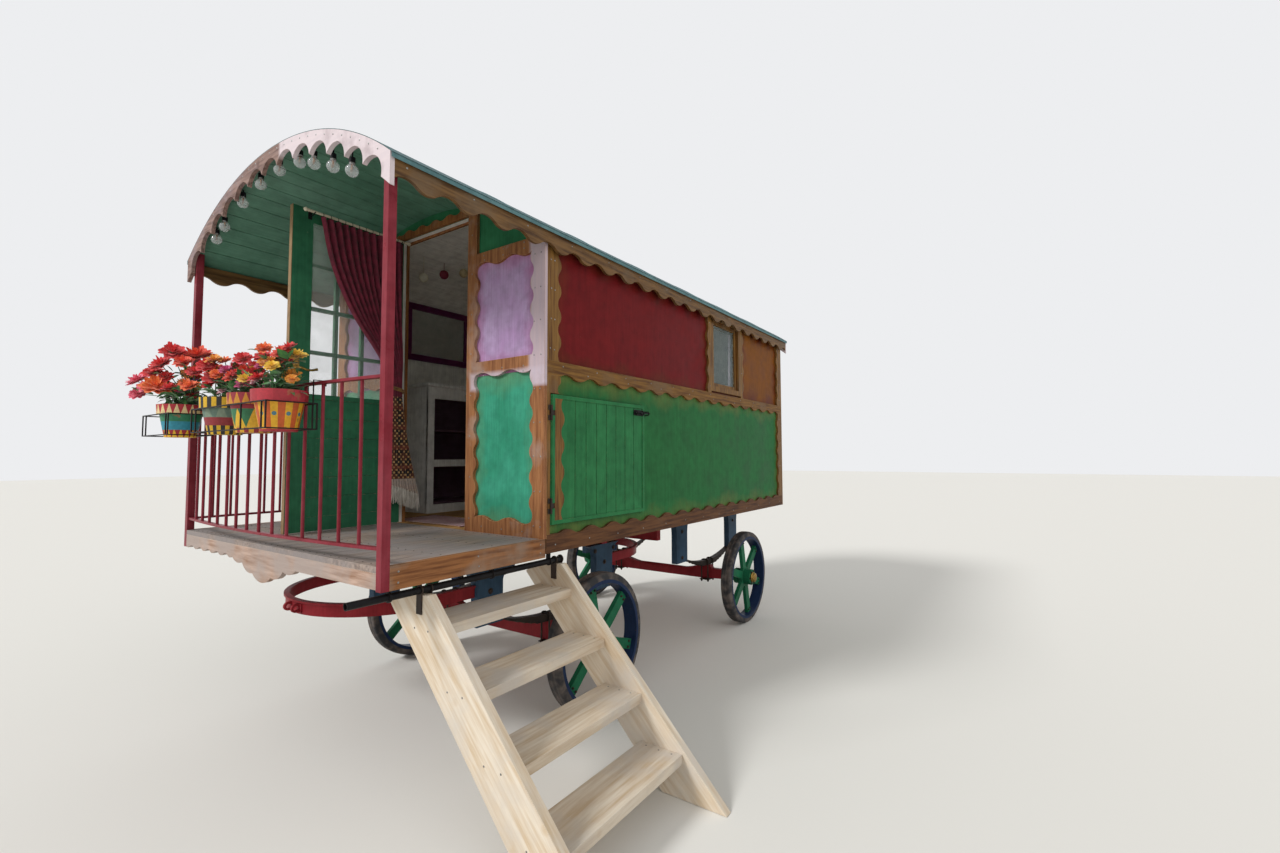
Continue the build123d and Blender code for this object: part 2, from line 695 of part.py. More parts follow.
# Trim on the front wall: one frame of boards on each side of the doorway, round two wavy panels
frontTopRailZ0, frontTopRailZ1 = deckZ + 1710.0, deckZ + 1790.0
frontWaistZ0, frontWaistZ1 = deckZ + 992.0, deckZ + 1080.0
frontBottomZ1 = deckZ + 91.0
jambIn = 15.0
jambOut = 102.0
frontCornerIn = 85.0
frontPanels = (
    # low level, wavy, high level, wavy
    (frontWaistZ1, False, frontTopRailZ0, True),
    (frontBottomZ1, True, frontWaistZ0, True),
)
with BuildPart() as frontCorners:
    for side, doorY in ((-1, doorLowY), (1, doorHighY)):
        y0, y1 = doorY + side * jambIn, side * (wallHalfW + trimThk)
        p0, p1 = doorY + side * jambOut, side * (wallHalfW - frontCornerIn)
        topY1 = roofZ(y1, wallTopR) - gap
        with BuildSketch(Plane.YZ.offset(wallFrontX)):
            with BuildLine():
                Polyline((y1, topY1), (y1, deckZ), (y0, deckZ), (y0, doorTopZ), (p0, doorTopZ),
                         (p0, frontTopRailZ1), (p1, frontTopRailZ1), (p1, roofZ(p1, wallTopR) - gap),
                         (y1, topY1))
            make_face()
            for low, lowWavy, high, highWavy in frontPanels:
                with BuildLine():
                    for level, wavy in ((low, lowWavy), (high, highWavy)):
                        if wavy:
                            for arc in wave(p0, p1, level, longWave, longPitch):
                                ThreePointArc(*arc)
                        else:
                            Line((p0, level), (p1, level))
                    for y in (p0, p1):
                        for arc in wave(low, high, y, uprightWave, uprightPitch, upright=True):
                            ThreePointArc(*arc)
                make_face(mode=Mode.SUBTRACT)
        extrude(amount=trimThk)
label(frontCorners, "front_corner_boards")

# Door frame: a head board with a wavy upper edge outside, stop strips inside
headZ0 = doorTopZ + gap
headH = 46.0
headWave = 11.0
headEnd = 100.0
with BuildPart() as doorFrame:
    y0, y1 = doorLowY, doorHighY
    with BuildSketch(Plane.YZ.offset(wallFrontX)):
        with BuildLine():
            Polyline((y1, headZ0 + headH), (y1 + headEnd, headZ0 + 18), (y1 + headEnd, headZ0),
                     (y0 - headEnd, headZ0), (y0 - headEnd, headZ0 + 18), (y0, headZ0 + headH))
            for arc in wave(y0, y1, headZ0 + headH, -headWave, uprightPitch):
                ThreePointArc(*arc)
        make_face()
    extrude(amount=trimThk)
    with BuildSketch(Plane.YZ.offset(wallFrontX - wallThk - 18)):
        with Locations(((doorLowY + doorHighY) / 2, (deckZ + doorTopZ + 30) / 2)):
            Rectangle(doorHighY - doorLowY + 60, doorTopZ + 30 - deckZ)
        with Locations(((doorLowY + doorHighY) / 2, (deckZ + doorTopZ - 14) / 2)):
            Rectangle(doorHighY - doorLowY - 28, doorTopZ - 14 - deckZ, mode=Mode.SUBTRACT)
    extrude(amount=18)
label(doorFrame, "door_frame")

# Door leaf, drawn in its open place: planks below, panes above
leafX0 = hingeX + doorLowY + doorClear - hingeY
leafX1 = hingeX + doorHighY - doorClear - hingeY
leafY0 = hingeY + hingeOut
leafZ0, leafZ1 = deckZ + doorClear + 2, doorTopZ - doorClear
stileW = 126.0
paneX0, paneX1 = leafX0 + stileW, leafX1 - stileW
paneZ0, paneZ1 = deckZ + 876, doorTopZ - 90
paneColumns, paneRows = 3, 4
muntin = 24.0
panelZ0, panelZ1 = leafZ0 + 90, deckZ + 846
panelDepth = 7.0
plankCount = 6
plankGroove = 5.0
with BuildPart() as doorLeaf:
    with BuildSketch(Plane.XZ.offset(-leafY0)):
        with Locations(((leafX0 + leafX1) / 2, (leafZ0 + leafZ1) / 2)):
            Rectangle(leafX1 - leafX0, leafZ1 - leafZ0)
        with Locations(((paneX0 + paneX1) / 2, (paneZ0 + paneZ1) / 2)):
            stepX, stepZ = (paneX1 - paneX0 + muntin) / paneColumns, (paneZ1 - paneZ0 + muntin) / paneRows
            with GridLocations(stepX, stepZ, paneColumns, paneRows):
                Rectangle(stepX - muntin, stepZ - muntin, mode=Mode.SUBTRACT)
    extrude(amount=-doorThk)
    with BuildSketch(Plane.XZ.offset(-leafY0 - doorThk)):
        with Locations(((paneX0 + paneX1) / 2, (paneZ0 + paneZ1) / 2)):
            Rectangle(paneX1 - paneX0, paneZ1 - paneZ0)
    extrude(amount=10, mode=Mode.SUBTRACT)
    for face, cut in ((leafY0, -1), (leafY0 + doorThk, 1)):
        with BuildSketch(Plane.XZ.offset(-face)):
            with Locations(((paneX0 + paneX1) / 2, (panelZ0 + panelZ1) / 2)):
                Rectangle(paneX1 - paneX0, panelZ1 - panelZ0)
        extrude(amount=cut * panelDepth, mode=Mode.SUBTRACT)
        with BuildSketch(Plane.XZ.offset(-face + cut * panelDepth)):
            with Locations(((paneX0 + paneX1) / 2, (panelZ0 + panelZ1) / 2)):
                with GridLocations(1, (panelZ1 - panelZ0) / plankCount, 1, plankCount - 1):
                    Rectangle(paneX1 - paneX0, plankGroove)
        extrude(amount=cut * 3, mode=Mode.SUBTRACT)
label(doorLeaf, "door_leaf")

with BuildPart() as doorGlass:
    with Locations(((paneX0 + paneX1) / 2, leafY0 + doorThk - 8, (paneZ0 + paneZ1) / 2)):
        Box(paneX1 - paneX0 - 2 * gap, 4, paneZ1 - paneZ0 - 2 * gap)
label(doorGlass, "door_glass")

# Windows: boards outside, sashes in the openings and a pane in each
windowPlaces = (
    # plane at the wall's outer face, centre along the plane
    (Plane((windowX, wallHalfW, windowZ), (-1, 0, 0), (0, 1, 0))),
    (Plane((windowX, -wallHalfW, windowZ), (1, 0, 0), (0, -1, 0))),
    (Plane((wallRearX, 0, windowZ), (0, -1, 0), (-1, 0, 0))),
)
ringTable = (
    # name, outer width and height, border, start, thickness
    ("window_frames", windowW + 2 * windowFrame, windowH + 2 * windowFrame, windowFrame, 0.0, trimThk),
    ("window_sashes", windowW, windowH, 34.0, -34.0, 28.0),
)
for name, w, h, border, start, thk in ringTable:
    with BuildPart() as ring:
        for place in windowPlaces:
            with BuildSketch(place.offset(start)):
                Rectangle(w, h)
                Rectangle(w - 2 * border, h - 2 * border, mode=Mode.SUBTRACT)
            extrude(amount=thk)
    label(ring, name)

with BuildPart() as panes:
    for place in windowPlaces:
        with BuildSketch(place.offset(-24)):
            Rectangle(windowW - 68 - 2 * gap, windowH - 68 - 2 * gap)
        extrude(amount=4)
label(panes, "window_glass")

# Hatch: upright planks on ledges, let into the left wall, with battens round the edge
hatchY1 = wallHalfW + trimThk
hatchPlanks = 8
battenW = 24.0
battenThk = 6.0
battenSet = 6.0
knuckleH = 30.0
hatchHingeZs = (hatchLowZ + 110, hatchTopZ - 110)
hatchTrimW = 66.0
with BuildPart() as hatch:
    hatchW, hatchH = hatchFrontX - hatchRearX, hatchTopZ - hatchLowZ
    hatchX, hatchZ = (hatchFrontX + hatchRearX) / 2, (hatchLowZ + hatchTopZ) / 2
    with Locations((hatchX, hatchY1 - hatchThk / 2, hatchZ)):
        Box(hatchW, hatchThk, hatchH)
    plankX0, plankX1 = hatchRearX + battenW, hatchFrontX - battenSet - battenW - hatchTrimW - uprightWave
    with BuildSketch(Plane.XZ.offset(-hatchY1)):
        with Locations(((plankX0 + plankX1) / 2, hatchZ)):
            with GridLocations((plankX1 - plankX0) / hatchPlanks, 1, hatchPlanks - 1, 1):
                Rectangle(5, hatchH)
    extrude(amount=6, mode=Mode.SUBTRACT)
    with BuildSketch(Plane.XZ.offset(-hatchY1)):
        with Locations((hatchX - battenSet / 2, hatchZ)):
            Rectangle(hatchW - battenSet, hatchH)
            Rectangle(hatchW - battenSet - 2 * battenW, hatchH - 2 * battenW, mode=Mode.SUBTRACT)
        for z in hatchHingeZs:
            with Locations((hatchFrontX, z)):
                Rectangle(4 * battenW, knuckleH + 2, mode=Mode.SUBTRACT)
    extrude(amount=-battenThk)
    for z in hatchHingeZs:
        with Locations((hatchX, hatchY1 - hatchThk - 9, z)):
            Box(hatchW - 40, 18, 90)
label(hatch, "hatch_leaf")

with BuildPart() as hatchTrim:
    trimX = hatchFrontX - battenSet - battenW - gap
    low, high = hatchLowZ + battenW + gap, hatchTopZ - battenW - gap
    with BuildSketch(Plane.XZ.offset(-hatchY1 - gap)):
        with BuildLine():
            Polyline((trimX - hatchTrimW, high), (trimX, high), (trimX, low), (trimX - hatchTrimW, low))
            for arc in wave(low, high, trimX - hatchTrimW, uprightWave, uprightPitch, upright=True):
                ThreePointArc(*arc)
        make_face()
    extrude(amount=-battenThk)
label(hatchTrim, "hatch_trim")

# Steps: stringers, treads housed between them, and steel eyes on the pipe
footY0, footY1 = pipeY + 748.0, pipeY + 1112.0
with BuildPart() as stringers:
    for x in stringerXs:
        with BuildSketch(Plane.YZ.offset(x - stringerThk / 2)):
            with BuildLine():
                Polyline((pipeY + 53, pipeZ - 19), (pipeY - 166, pipeZ - 40), (pipeY - 239, pipeZ - 90),
                         (footY0, stepsFootZ), (footY1, stepsFootZ), (pipeY + 53, pipeZ - 19))
            make_face()
        extrude(amount=stringerThk)
label(stringers, "step_stringers")

treadX0, treadX1 = stringerXs[0] + stringerThk / 2, stringerXs[1] - stringerThk / 2
with BuildPart() as treads:
    for i in range(treadCount):
        with Locations(((treadX0 + treadX1) / 2, firstTreadY + i * treadGo - treadDepth / 2,
                        firstTreadZ - i * treadRise - treadThk / 2)):
            Box(treadX1 - treadX0, treadDepth, treadThk)
label(treads, "step_treads")

eyeThk = 6.0
eyeR = pipeR + 8.0
with BuildPart() as eyes:
    for x in stringerXs:
        for side in (-1, 1):
            face = x + side * stringerThk / 2
            with BuildSketch(Plane.YZ.offset(face)):
                with Locations((pipeY, pipeZ)):
                    Circle(eyeR)
                with Locations((pipeY - 4, pipeZ - 55)):
                    Rectangle(2 * eyeR - 10, 110)
                with Locations((pipeY, pipeZ)):
                    Circle(pipeR + runClear, mode=Mode.SUBTRACT)
            extrude(amount=side * eyeThk)
label(eyes, "step_eyes")

bracketTable = (
    # x, top level
    (deckFrontX - 60, deckZ - boardThk),
    (deckFrontX - 640, deckZ - boardThk),
    (deckFrontX - 1070, bodyBottomZ),
)
with BuildPart() as pipe:
    with BuildSketch(Plane.YZ.offset(pipeX0)):
        with Locations((pipeY, pipeZ)):
            Circle(pipeR)
    extrude(amount=pipeX1 - pipeX0)
    for x, topZ in bracketTable:
        with BuildSketch(Plane.YZ.offset(x - 5)):
            with Locations((pipeY, pipeZ)):
                Circle(pipeR + 7)
            with Locations((deckInnerW - 14, (topZ + pipeZ) / 2)):
                Rectangle(28, topZ - pipeZ)
        extrude(amount=10)
    with BuildSketch(Plane.YZ.offset(pipeX0)):
        with Locations((pipeY, pipeZ)):
            Circle(pipeR - pipeWall)
    extrude(amount=pipeX1 - pipeX0, mode=Mode.SUBTRACT)
label(pipe, "step_pipe")

# Deep cross beam under the chassis
middleBeamX = (kingX + rearAxleX) / 2 - 170
middleBeamH = 172.0
middleBeamOut = 70.0
with BuildPart() as crossBeam:
    with Locations((middleBeamX, 0, railBottomZ - middleBeamH / 2)):
        Box(60, 2 * (railY + railW / 2 + middleBeamOut), middleBeamH)
label(crossBeam, "middle_cross_beam")

# Hinges: knuckles on fixed plates with a pin, and straps with an eye that turns on it
hingePinR = 4.0
knuckleR = 7.0
plateThk = 3.0
hatchHingeX, hatchHingeY = hatchFrontX + 3, hatchY1 + hingeOut
doorHingeZs = (deckZ + 240, deckZ + 1130, deckZ + 1860)
with BuildPart() as pins:
    for x, y, zs in ((hingeX, hingeY, doorHingeZs), (hatchHingeX, hatchHingeY, hatchHingeZs)):
        for z in zs:
            for low in (-1.5 * knuckleH, 0.5 * knuckleH):
                with BuildSketch(Plane.XY.offset(z + low)):
                    with Locations((x, y)):
                        Circle(knuckleR)
                    if zs == doorHingeZs:
                        with Locations((x - hingeOut + plateThk / 2, y - 7)):
                            Rectangle(plateThk, 18)
                    else:
                        with Locations((x + 10, y - hingeOut + plateThk / 2)):
                            Rectangle(24, plateThk)
                extrude(amount=knuckleH)
            with BuildSketch(Plane.XY.offset(z - 1.5 * knuckleH)):
                with Locations((x, y)):
                    Circle(hingePinR)
            extrude(amount=3 * knuckleH)
label(pins, "hinge_pins")

strapTable = (
    # name, pin x, pin y, pin levels, reach along the leaf, side of the plate
    ("door_straps", hingeX, hingeY, doorHingeZs, 70.0, 1),
    ("hatch_straps", hatchHingeX, hatchHingeY, hatchHingeZs, -32.0, -1),
)
for name, x, y, zs, reach, side in strapTable:
    with BuildPart() as straps:
        for z in zs:
            with BuildSketch(Plane.XY.offset(z - knuckleH / 2 + gap)):
                with Locations((x, y)):
                    Circle(knuckleR)
                with Locations((x + reach / 2, y + side * (hingeOut - plateThk / 2))):
                    Rectangle(abs(reach), plateThk)
                with Locations((x, y)):
                    Circle(hingePinR + runClear, mode=Mode.SUBTRACT)
            extrude(amount=knuckleH - 2 * gap)
    label(straps, name)

# Festoon of lamps behind the front bargeboard: each hangs on a stem from the roof boards
lampX = roofFrontX - bargeThk - 33.0
lampR = 31.0
lampNeckR = 13.5
socketR = 15.0
socketH = 26.0
stemR = 4.0
lampTable = (
    # y, drop from the roof boards to the middle of the bulb
    (-880.0, 82.0), (-757.0, 82.0), (-487.0, 84.0), (-242.0, 82.0), (0.0, 82.0),
    (240.0, 95.0), (397.0, 124.0), (595.0, 150.0), (778.0, 160.0),
)
with BuildPart() as sockets:
    for y, drop in lampTable:
        bulbZ = roofZ(y, wallTopR) - drop
        stemTopZ = roofZ(abs(y) + stemR, wallTopR) - gap
        with BuildSketch(Plane.XY.offset(bulbZ + lampR + 8)):
            with Locations((lampX, y)):
                Circle(socketR)
        extrude(amount=socketH)
        with BuildSketch(Plane.XY.offset(bulbZ + lampR + 8 + socketH)):
            with Locations((lampX, y)):
                Circle(stemR)
        extrude(amount=stemTopZ - bulbZ - lampR - 8 - socketH)
label(sockets, "lamp_sockets")

with BuildPart() as bulbs:
    for y, drop in lampTable:
        bulbZ = roofZ(y, wallTopR) - drop
        topZ = bulbZ + lampR + 8 - gap
        with BuildSketch(Plane.YZ.offset(lampX)):
            with BuildLine():
                Line((y, topZ), (y, bulbZ - lampR))
                ThreePointArc((y, bulbZ - lampR), (y + lampR, bulbZ), (y + lampR * 0.8, bulbZ + lampR * 0.6))
                Polyline((y + lampR * 0.8, bulbZ + lampR * 0.6), (y + lampNeckR, bulbZ + lampR),
                         (y + lampNeckR, topZ), (y, topZ))
            make_face()
        revolve(axis=Axis((lampX, y, 0), (0, 0, 1)))
label(bulbs, "lamp_bulbs")

# Flower pots in wire troughs hooked over the front railing
potRimR = 114.0
potNeckR = 101.0
potBaseR = 76.0
potRimH = 55.0
potH = 190.0
potWall = 9.0
potTopZ = deckZ + 785.0
potGap = 4.0
troughBar = 6.0
troughTable = (
    # low y, high y, pots, hooks
    (-960.0, -520.0, (-690.0,), (-900.0, -560.0)),
    (-170.0, 705.0, (-40.0, 314.0, 578.0), (-110.0, 445.0, 660.0)),
)
troughIn = 2 * (potNeckR + potGap)
railFaceX = railBarW / 2


def railX(y):
    return bowCx + math.sqrt(bowR**2 - y**2)


troughCentreX = railX(0) + railFaceX + 3.0 + troughIn / 2 + troughBar
with BuildPart() as pots:
    for low, high, potYs, hookYs in troughTable:
        for y in potYs:
            with BuildSketch(Plane.XZ.offset(-y)):
                with BuildLine():
                    x, baseZ, rimZ = troughCentreX, potTopZ - potH, potTopZ - potRimH
                    Polyline((x, baseZ), (x + potBaseR, baseZ), (x + potNeckR, rimZ), (x + potRimR, rimZ),
                             (x + potRimR + 3, potTopZ), (x + potRimR - potWall, potTopZ),
                             (x + potNeckR - potWall, rimZ), (x + potBaseR - potWall, baseZ + potWall),
                             (x, baseZ + potWall), (x, baseZ))
                make_face()
            revolve(axis=Axis((troughCentreX, y, 0), (0, 0, 1)))
label(pots, "flower_pots")

troughTopZ = potTopZ - potRimH - gap
troughLowZ = potTopZ - potH + 8
hookThk = 3.0
with BuildPart() as troughs:
    for low, high, potYs, hookYs in troughTable:
        for z in (troughTopZ - troughBar, troughLowZ):
            with BuildSketch(Plane.XY.offset(z)):
                with Locations((troughCentreX, (low + high) / 2)):
                    Rectangle(troughIn + 2 * troughBar, high - low)
                    Rectangle(troughIn, high - low - 2 * troughBar, mode=Mode.SUBTRACT)
            extrude(amount=troughBar)
        with BuildSketch(Plane.XY.offset(troughLowZ)):
            for side in (-1, 1):
                x = troughCentreX + side * (troughIn + troughBar) / 2
                for y in (low + troughBar / 2, *hookYs, high - troughBar / 2):
                    with Locations((x, y)):
                        Rectangle(troughBar, troughBar)
        extrude(amount=troughTopZ - troughLowZ)
        for y in hookYs:
            backX = troughCentreX - troughIn / 2 - troughBar
            innerX = railX(abs(y) + 4) - railFaceX - 0.6 - hookThk
            hookZ = railTop + railBarH / 2 + gap
            with BuildSketch(Plane.XZ.offset(-y + 4)):
                with Locations((backX + hookThk / 2, (troughTopZ + hookZ + hookThk) / 2)):
                    Rectangle(hookThk, hookZ + hookThk - troughTopZ)
                with Locations(((innerX + backX + hookThk) / 2, hookZ + hookThk / 2)):
                    Rectangle(backX + hookThk - innerX, hookThk)
                with Locations((innerX + hookThk / 2, hookZ + hookThk / 2 - 12)):
                    Rectangle(hookThk, hookThk + 24)
            extrude(amount=-8)
label(troughs, "pot_troughs")
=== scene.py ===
import bpy, bmesh, math, random
from mathutils import Vector, Matrix


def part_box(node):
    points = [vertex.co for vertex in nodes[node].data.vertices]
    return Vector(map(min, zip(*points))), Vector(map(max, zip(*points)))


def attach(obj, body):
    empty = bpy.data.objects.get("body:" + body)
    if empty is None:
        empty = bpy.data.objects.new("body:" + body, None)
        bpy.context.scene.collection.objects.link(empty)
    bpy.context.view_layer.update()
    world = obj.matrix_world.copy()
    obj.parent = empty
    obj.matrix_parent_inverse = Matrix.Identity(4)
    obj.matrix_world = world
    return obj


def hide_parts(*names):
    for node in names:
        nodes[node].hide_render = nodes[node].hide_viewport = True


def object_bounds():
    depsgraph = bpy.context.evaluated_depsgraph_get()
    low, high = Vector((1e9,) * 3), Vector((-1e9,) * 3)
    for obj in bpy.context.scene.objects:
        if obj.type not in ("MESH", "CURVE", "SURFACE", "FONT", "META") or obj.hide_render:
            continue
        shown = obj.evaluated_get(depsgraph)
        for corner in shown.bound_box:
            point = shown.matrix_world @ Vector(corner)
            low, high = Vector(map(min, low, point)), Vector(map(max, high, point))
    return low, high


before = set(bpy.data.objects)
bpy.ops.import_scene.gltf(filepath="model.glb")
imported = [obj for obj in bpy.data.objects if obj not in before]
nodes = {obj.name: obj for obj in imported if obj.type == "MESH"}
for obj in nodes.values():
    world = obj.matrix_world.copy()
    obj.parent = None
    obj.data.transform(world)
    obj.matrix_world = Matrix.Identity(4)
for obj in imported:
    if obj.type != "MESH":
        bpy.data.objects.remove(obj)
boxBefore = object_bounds()
print("frame loaded,", len(nodes), "nodes")


# colours are written as sRGB hex and turned to linear here
def hexToLinear(text):
    values = [int(text.lstrip("#")[i:i + 2], 16) / 255 for i in (0, 2, 4)]
    linear = [v / 12.92 if v <= 0.04045 else ((v + 0.055) / 1.055) ** 2.4 for v in values]
    return (*linear, 1.0)


# sockets by name or in order: hex is made linear, nodes and sockets are linked, other values are set
def fillSockets(tree, node, values):
    for name, value in (values.items() if isinstance(values, dict) else enumerate(values)):
        if isinstance(value, str):
            value = hexToLinear(value)
        if isinstance(value, bpy.types.Node):
            value = value.outputs[0]
        if isinstance(value, bpy.types.NodeSocket):
            tree.links.new(value, node.inputs[name])
        else:
            node.inputs[name].default_value = value


# one helper adds a node with its settings and links
def addNode(tree, kind, values=(), **settings):
    node = tree.nodes.new("ShaderNode" + kind)
    for name, value in settings.items():
        setattr(node, name, value)
    fillSockets(tree, node, values)
    return node


# a material, its tree, its shader and the object's own coordinates in metres
def newMaterial(name):
    material = bpy.data.materials.new(name)
    material.use_nodes = True
    tree = material.node_tree
    return material, tree, tree.nodes["Principled BSDF"], addNode(tree, "TexCoord").outputs["Object"]


# coordinates stretched along one axis, which can lean about X
def alongGrain(tree, coords, along, stretch, lean=0.0):
    scale = [1.0, 1.0, 1.0]
    scale["XYZ".index(along)] = stretch
    rotation = (math.radians(lean), 0, 0)
    return addNode(tree, "Mapping", {"Vector": coords, "Rotation": rotation, "Scale": scale},
                   vector_type="TEXTURE")


# sharp CAD edges are softened in the light, and their share of wear comes from the same rounding
def softEdges(tree, radiusMm):
    soft = addNode(tree, "Bevel", (radiusMm / 1000,), samples=4)
    plain = addNode(tree, "NewGeometry").outputs["Normal"]
    turn = addNode(tree, "VectorMath", (soft, plain), operation="DOT_PRODUCT").outputs["Value"]
    return soft, addNode(tree, "MapRange", (turn, 0.99, 0.8))


# depth inside a box: positive within it, in metres from its nearest face
def boxDepth(tree, coords, low, high):
    fromLow = addNode(tree, "VectorMath", (coords, low), operation="SUBTRACT")
    fromHigh = addNode(tree, "VectorMath", (high, coords), operation="SUBTRACT")
    nearest = addNode(tree, "VectorMath", (fromLow, fromHigh), operation="MINIMUM")
    x, y, z = addNode(tree, "SeparateXYZ", (nearest,)).outputs
    pair = addNode(tree, "Math", (x, y), operation="MINIMUM")
    return addNode(tree, "Math", (pair, z), operation="MINIMUM")


# larch, oak and pine boards, planed and weathered: long bands of grain, a few knots, pale worn edges;
# the sizes are the grain's width, its bends, the weathered patches and the space from knot to knot
woodLook = {"grainMm": 9.0, "bendMm": 333.3, "patchMm": 384.6, "knotMm": 312.5, "stretch": 14.0,
            "roughness": 0.62, "bump": 0.35, "bumpMm": 2.0, "edgeMm": 3.0, "specular": 0.18}


# a stain is a colour, an axis and the level where it starts and is full
def planedWood(name, light, dark, along, weather=None, weatherShare=0.0, grainMm=woodLook["grainMm"],
               rough=woodLook["roughness"], edge=None, stain=None, bleach=None, bleachBoxes=(),
               knotShare=0.75, lean=0.0):
    material, tree, shader, plain = newMaterial(name)
    grain = alongGrain(tree, plain, along, woodLook["stretch"], lean)
    bends = addNode(tree, "TexNoise", {"Vector": grain, "Scale": 1000 / woodLook["bendMm"], "Detail": 3.0})
    bent = addNode(tree, "MixRGB", (0.06, grain, bends.outputs["Color"]), blend_type="ADD")
    # a dark and a light band together are as wide as two grains
    bands = addNode(tree, "TexNoise", {"Vector": bent, "Scale": 1000.0 / grainMm / 2, "Detail": 5.0,
                                       "Roughness": 0.6})
    ramp = addNode(tree, "ValToRGB", (bands,))
    stops = ramp.color_ramp.elements
    stops[0].position, stops[1].position = 0.34, 0.62
    stops[0].color, stops[1].color = hexToLinear(dark), hexToLinear(light)
    patches = addNode(tree, "TexNoise", {"Vector": plain, "Scale": 1000 / woodLook["patchMm"], "Detail": 5.0,
                                         "Roughness": 0.6})
    cells = addNode(tree, "TexVoronoi", {"Vector": plain, "Scale": 1000 / woodLook["knotMm"]})
    knots = addNode(tree, "MapRange", (cells, 0.03, 0.09, knotShare, 0.0))
    colour = addNode(tree, "MixRGB", (knots, ramp, dark))
    if stain:
        tone, axis, start, end = stain
        level = addNode(tree, "SeparateXYZ", (plain,)).outputs[axis]
        ragged = addNode(tree, "Math", (patches, 0.35, level), operation="MULTIPLY_ADD")
        soaked = addNode(tree, "MixRGB", (0.6, tone, colour), blend_type="SOFT_LIGHT")
        deep = addNode(tree, "MapRange", (ragged, start, end, 0.0, 0.85))
        colour = addNode(tree, "MixRGB", (deep, colour, soaked))
    for low, high in bleachBoxes:
        depth = boxDepth(tree, plain, low, high)
        ragged = addNode(tree, "Math", (patches, 0.05, depth), operation="MULTIPLY_ADD")
        pale = addNode(tree, "MixRGB", (0.35, bleach, ramp), blend_type="SOFT_LIGHT")
        sunned = addNode(tree, "MapRange", (ragged, 0.012, 0.04, 0.0, 0.82))
        colour = addNode(tree, "MixRGB", (sunned, colour, pale))
    if weather:
        start = 0.62 - weatherShare * 0.5
        worn = addNode(tree, "MapRange", (patches, start, start + 0.16, 0.0, 0.85))
        colour = addNode(tree, "MixRGB", (worn, colour, weather))
    softNormal, wear = softEdges(tree, woodLook["edgeMm"])
    if edge:
        colour = addNode(tree, "MixRGB", (wear, colour, edge))
    bump = addNode(tree, "Bump", {"Height": bands, "Strength": woodLook["bump"],
                                  "Distance": woodLook["bumpMm"] / 1000, "Normal": softNormal})
    fillSockets(tree, shader, {"Base Color": colour, "Roughness": rough, "Normal": bump,
                               "Specular IOR Level": woodLook["specular"]})
    return material


# brushed gloss paint over boards or steel: faint brush strokes, cloudy fading, chips to the undercoat;
# real strokes are about 1 mm wide and are drawn coarser so that they show
paintLook = {"strokeMm": 6.0, "cloudMm": 285.7, "grimeMm": 58.82, "chipMm": 24.0, "stretch": 18.0,
             "bumpMm": 0.6, "edgeMm": 2.0, "specular": 0.07}


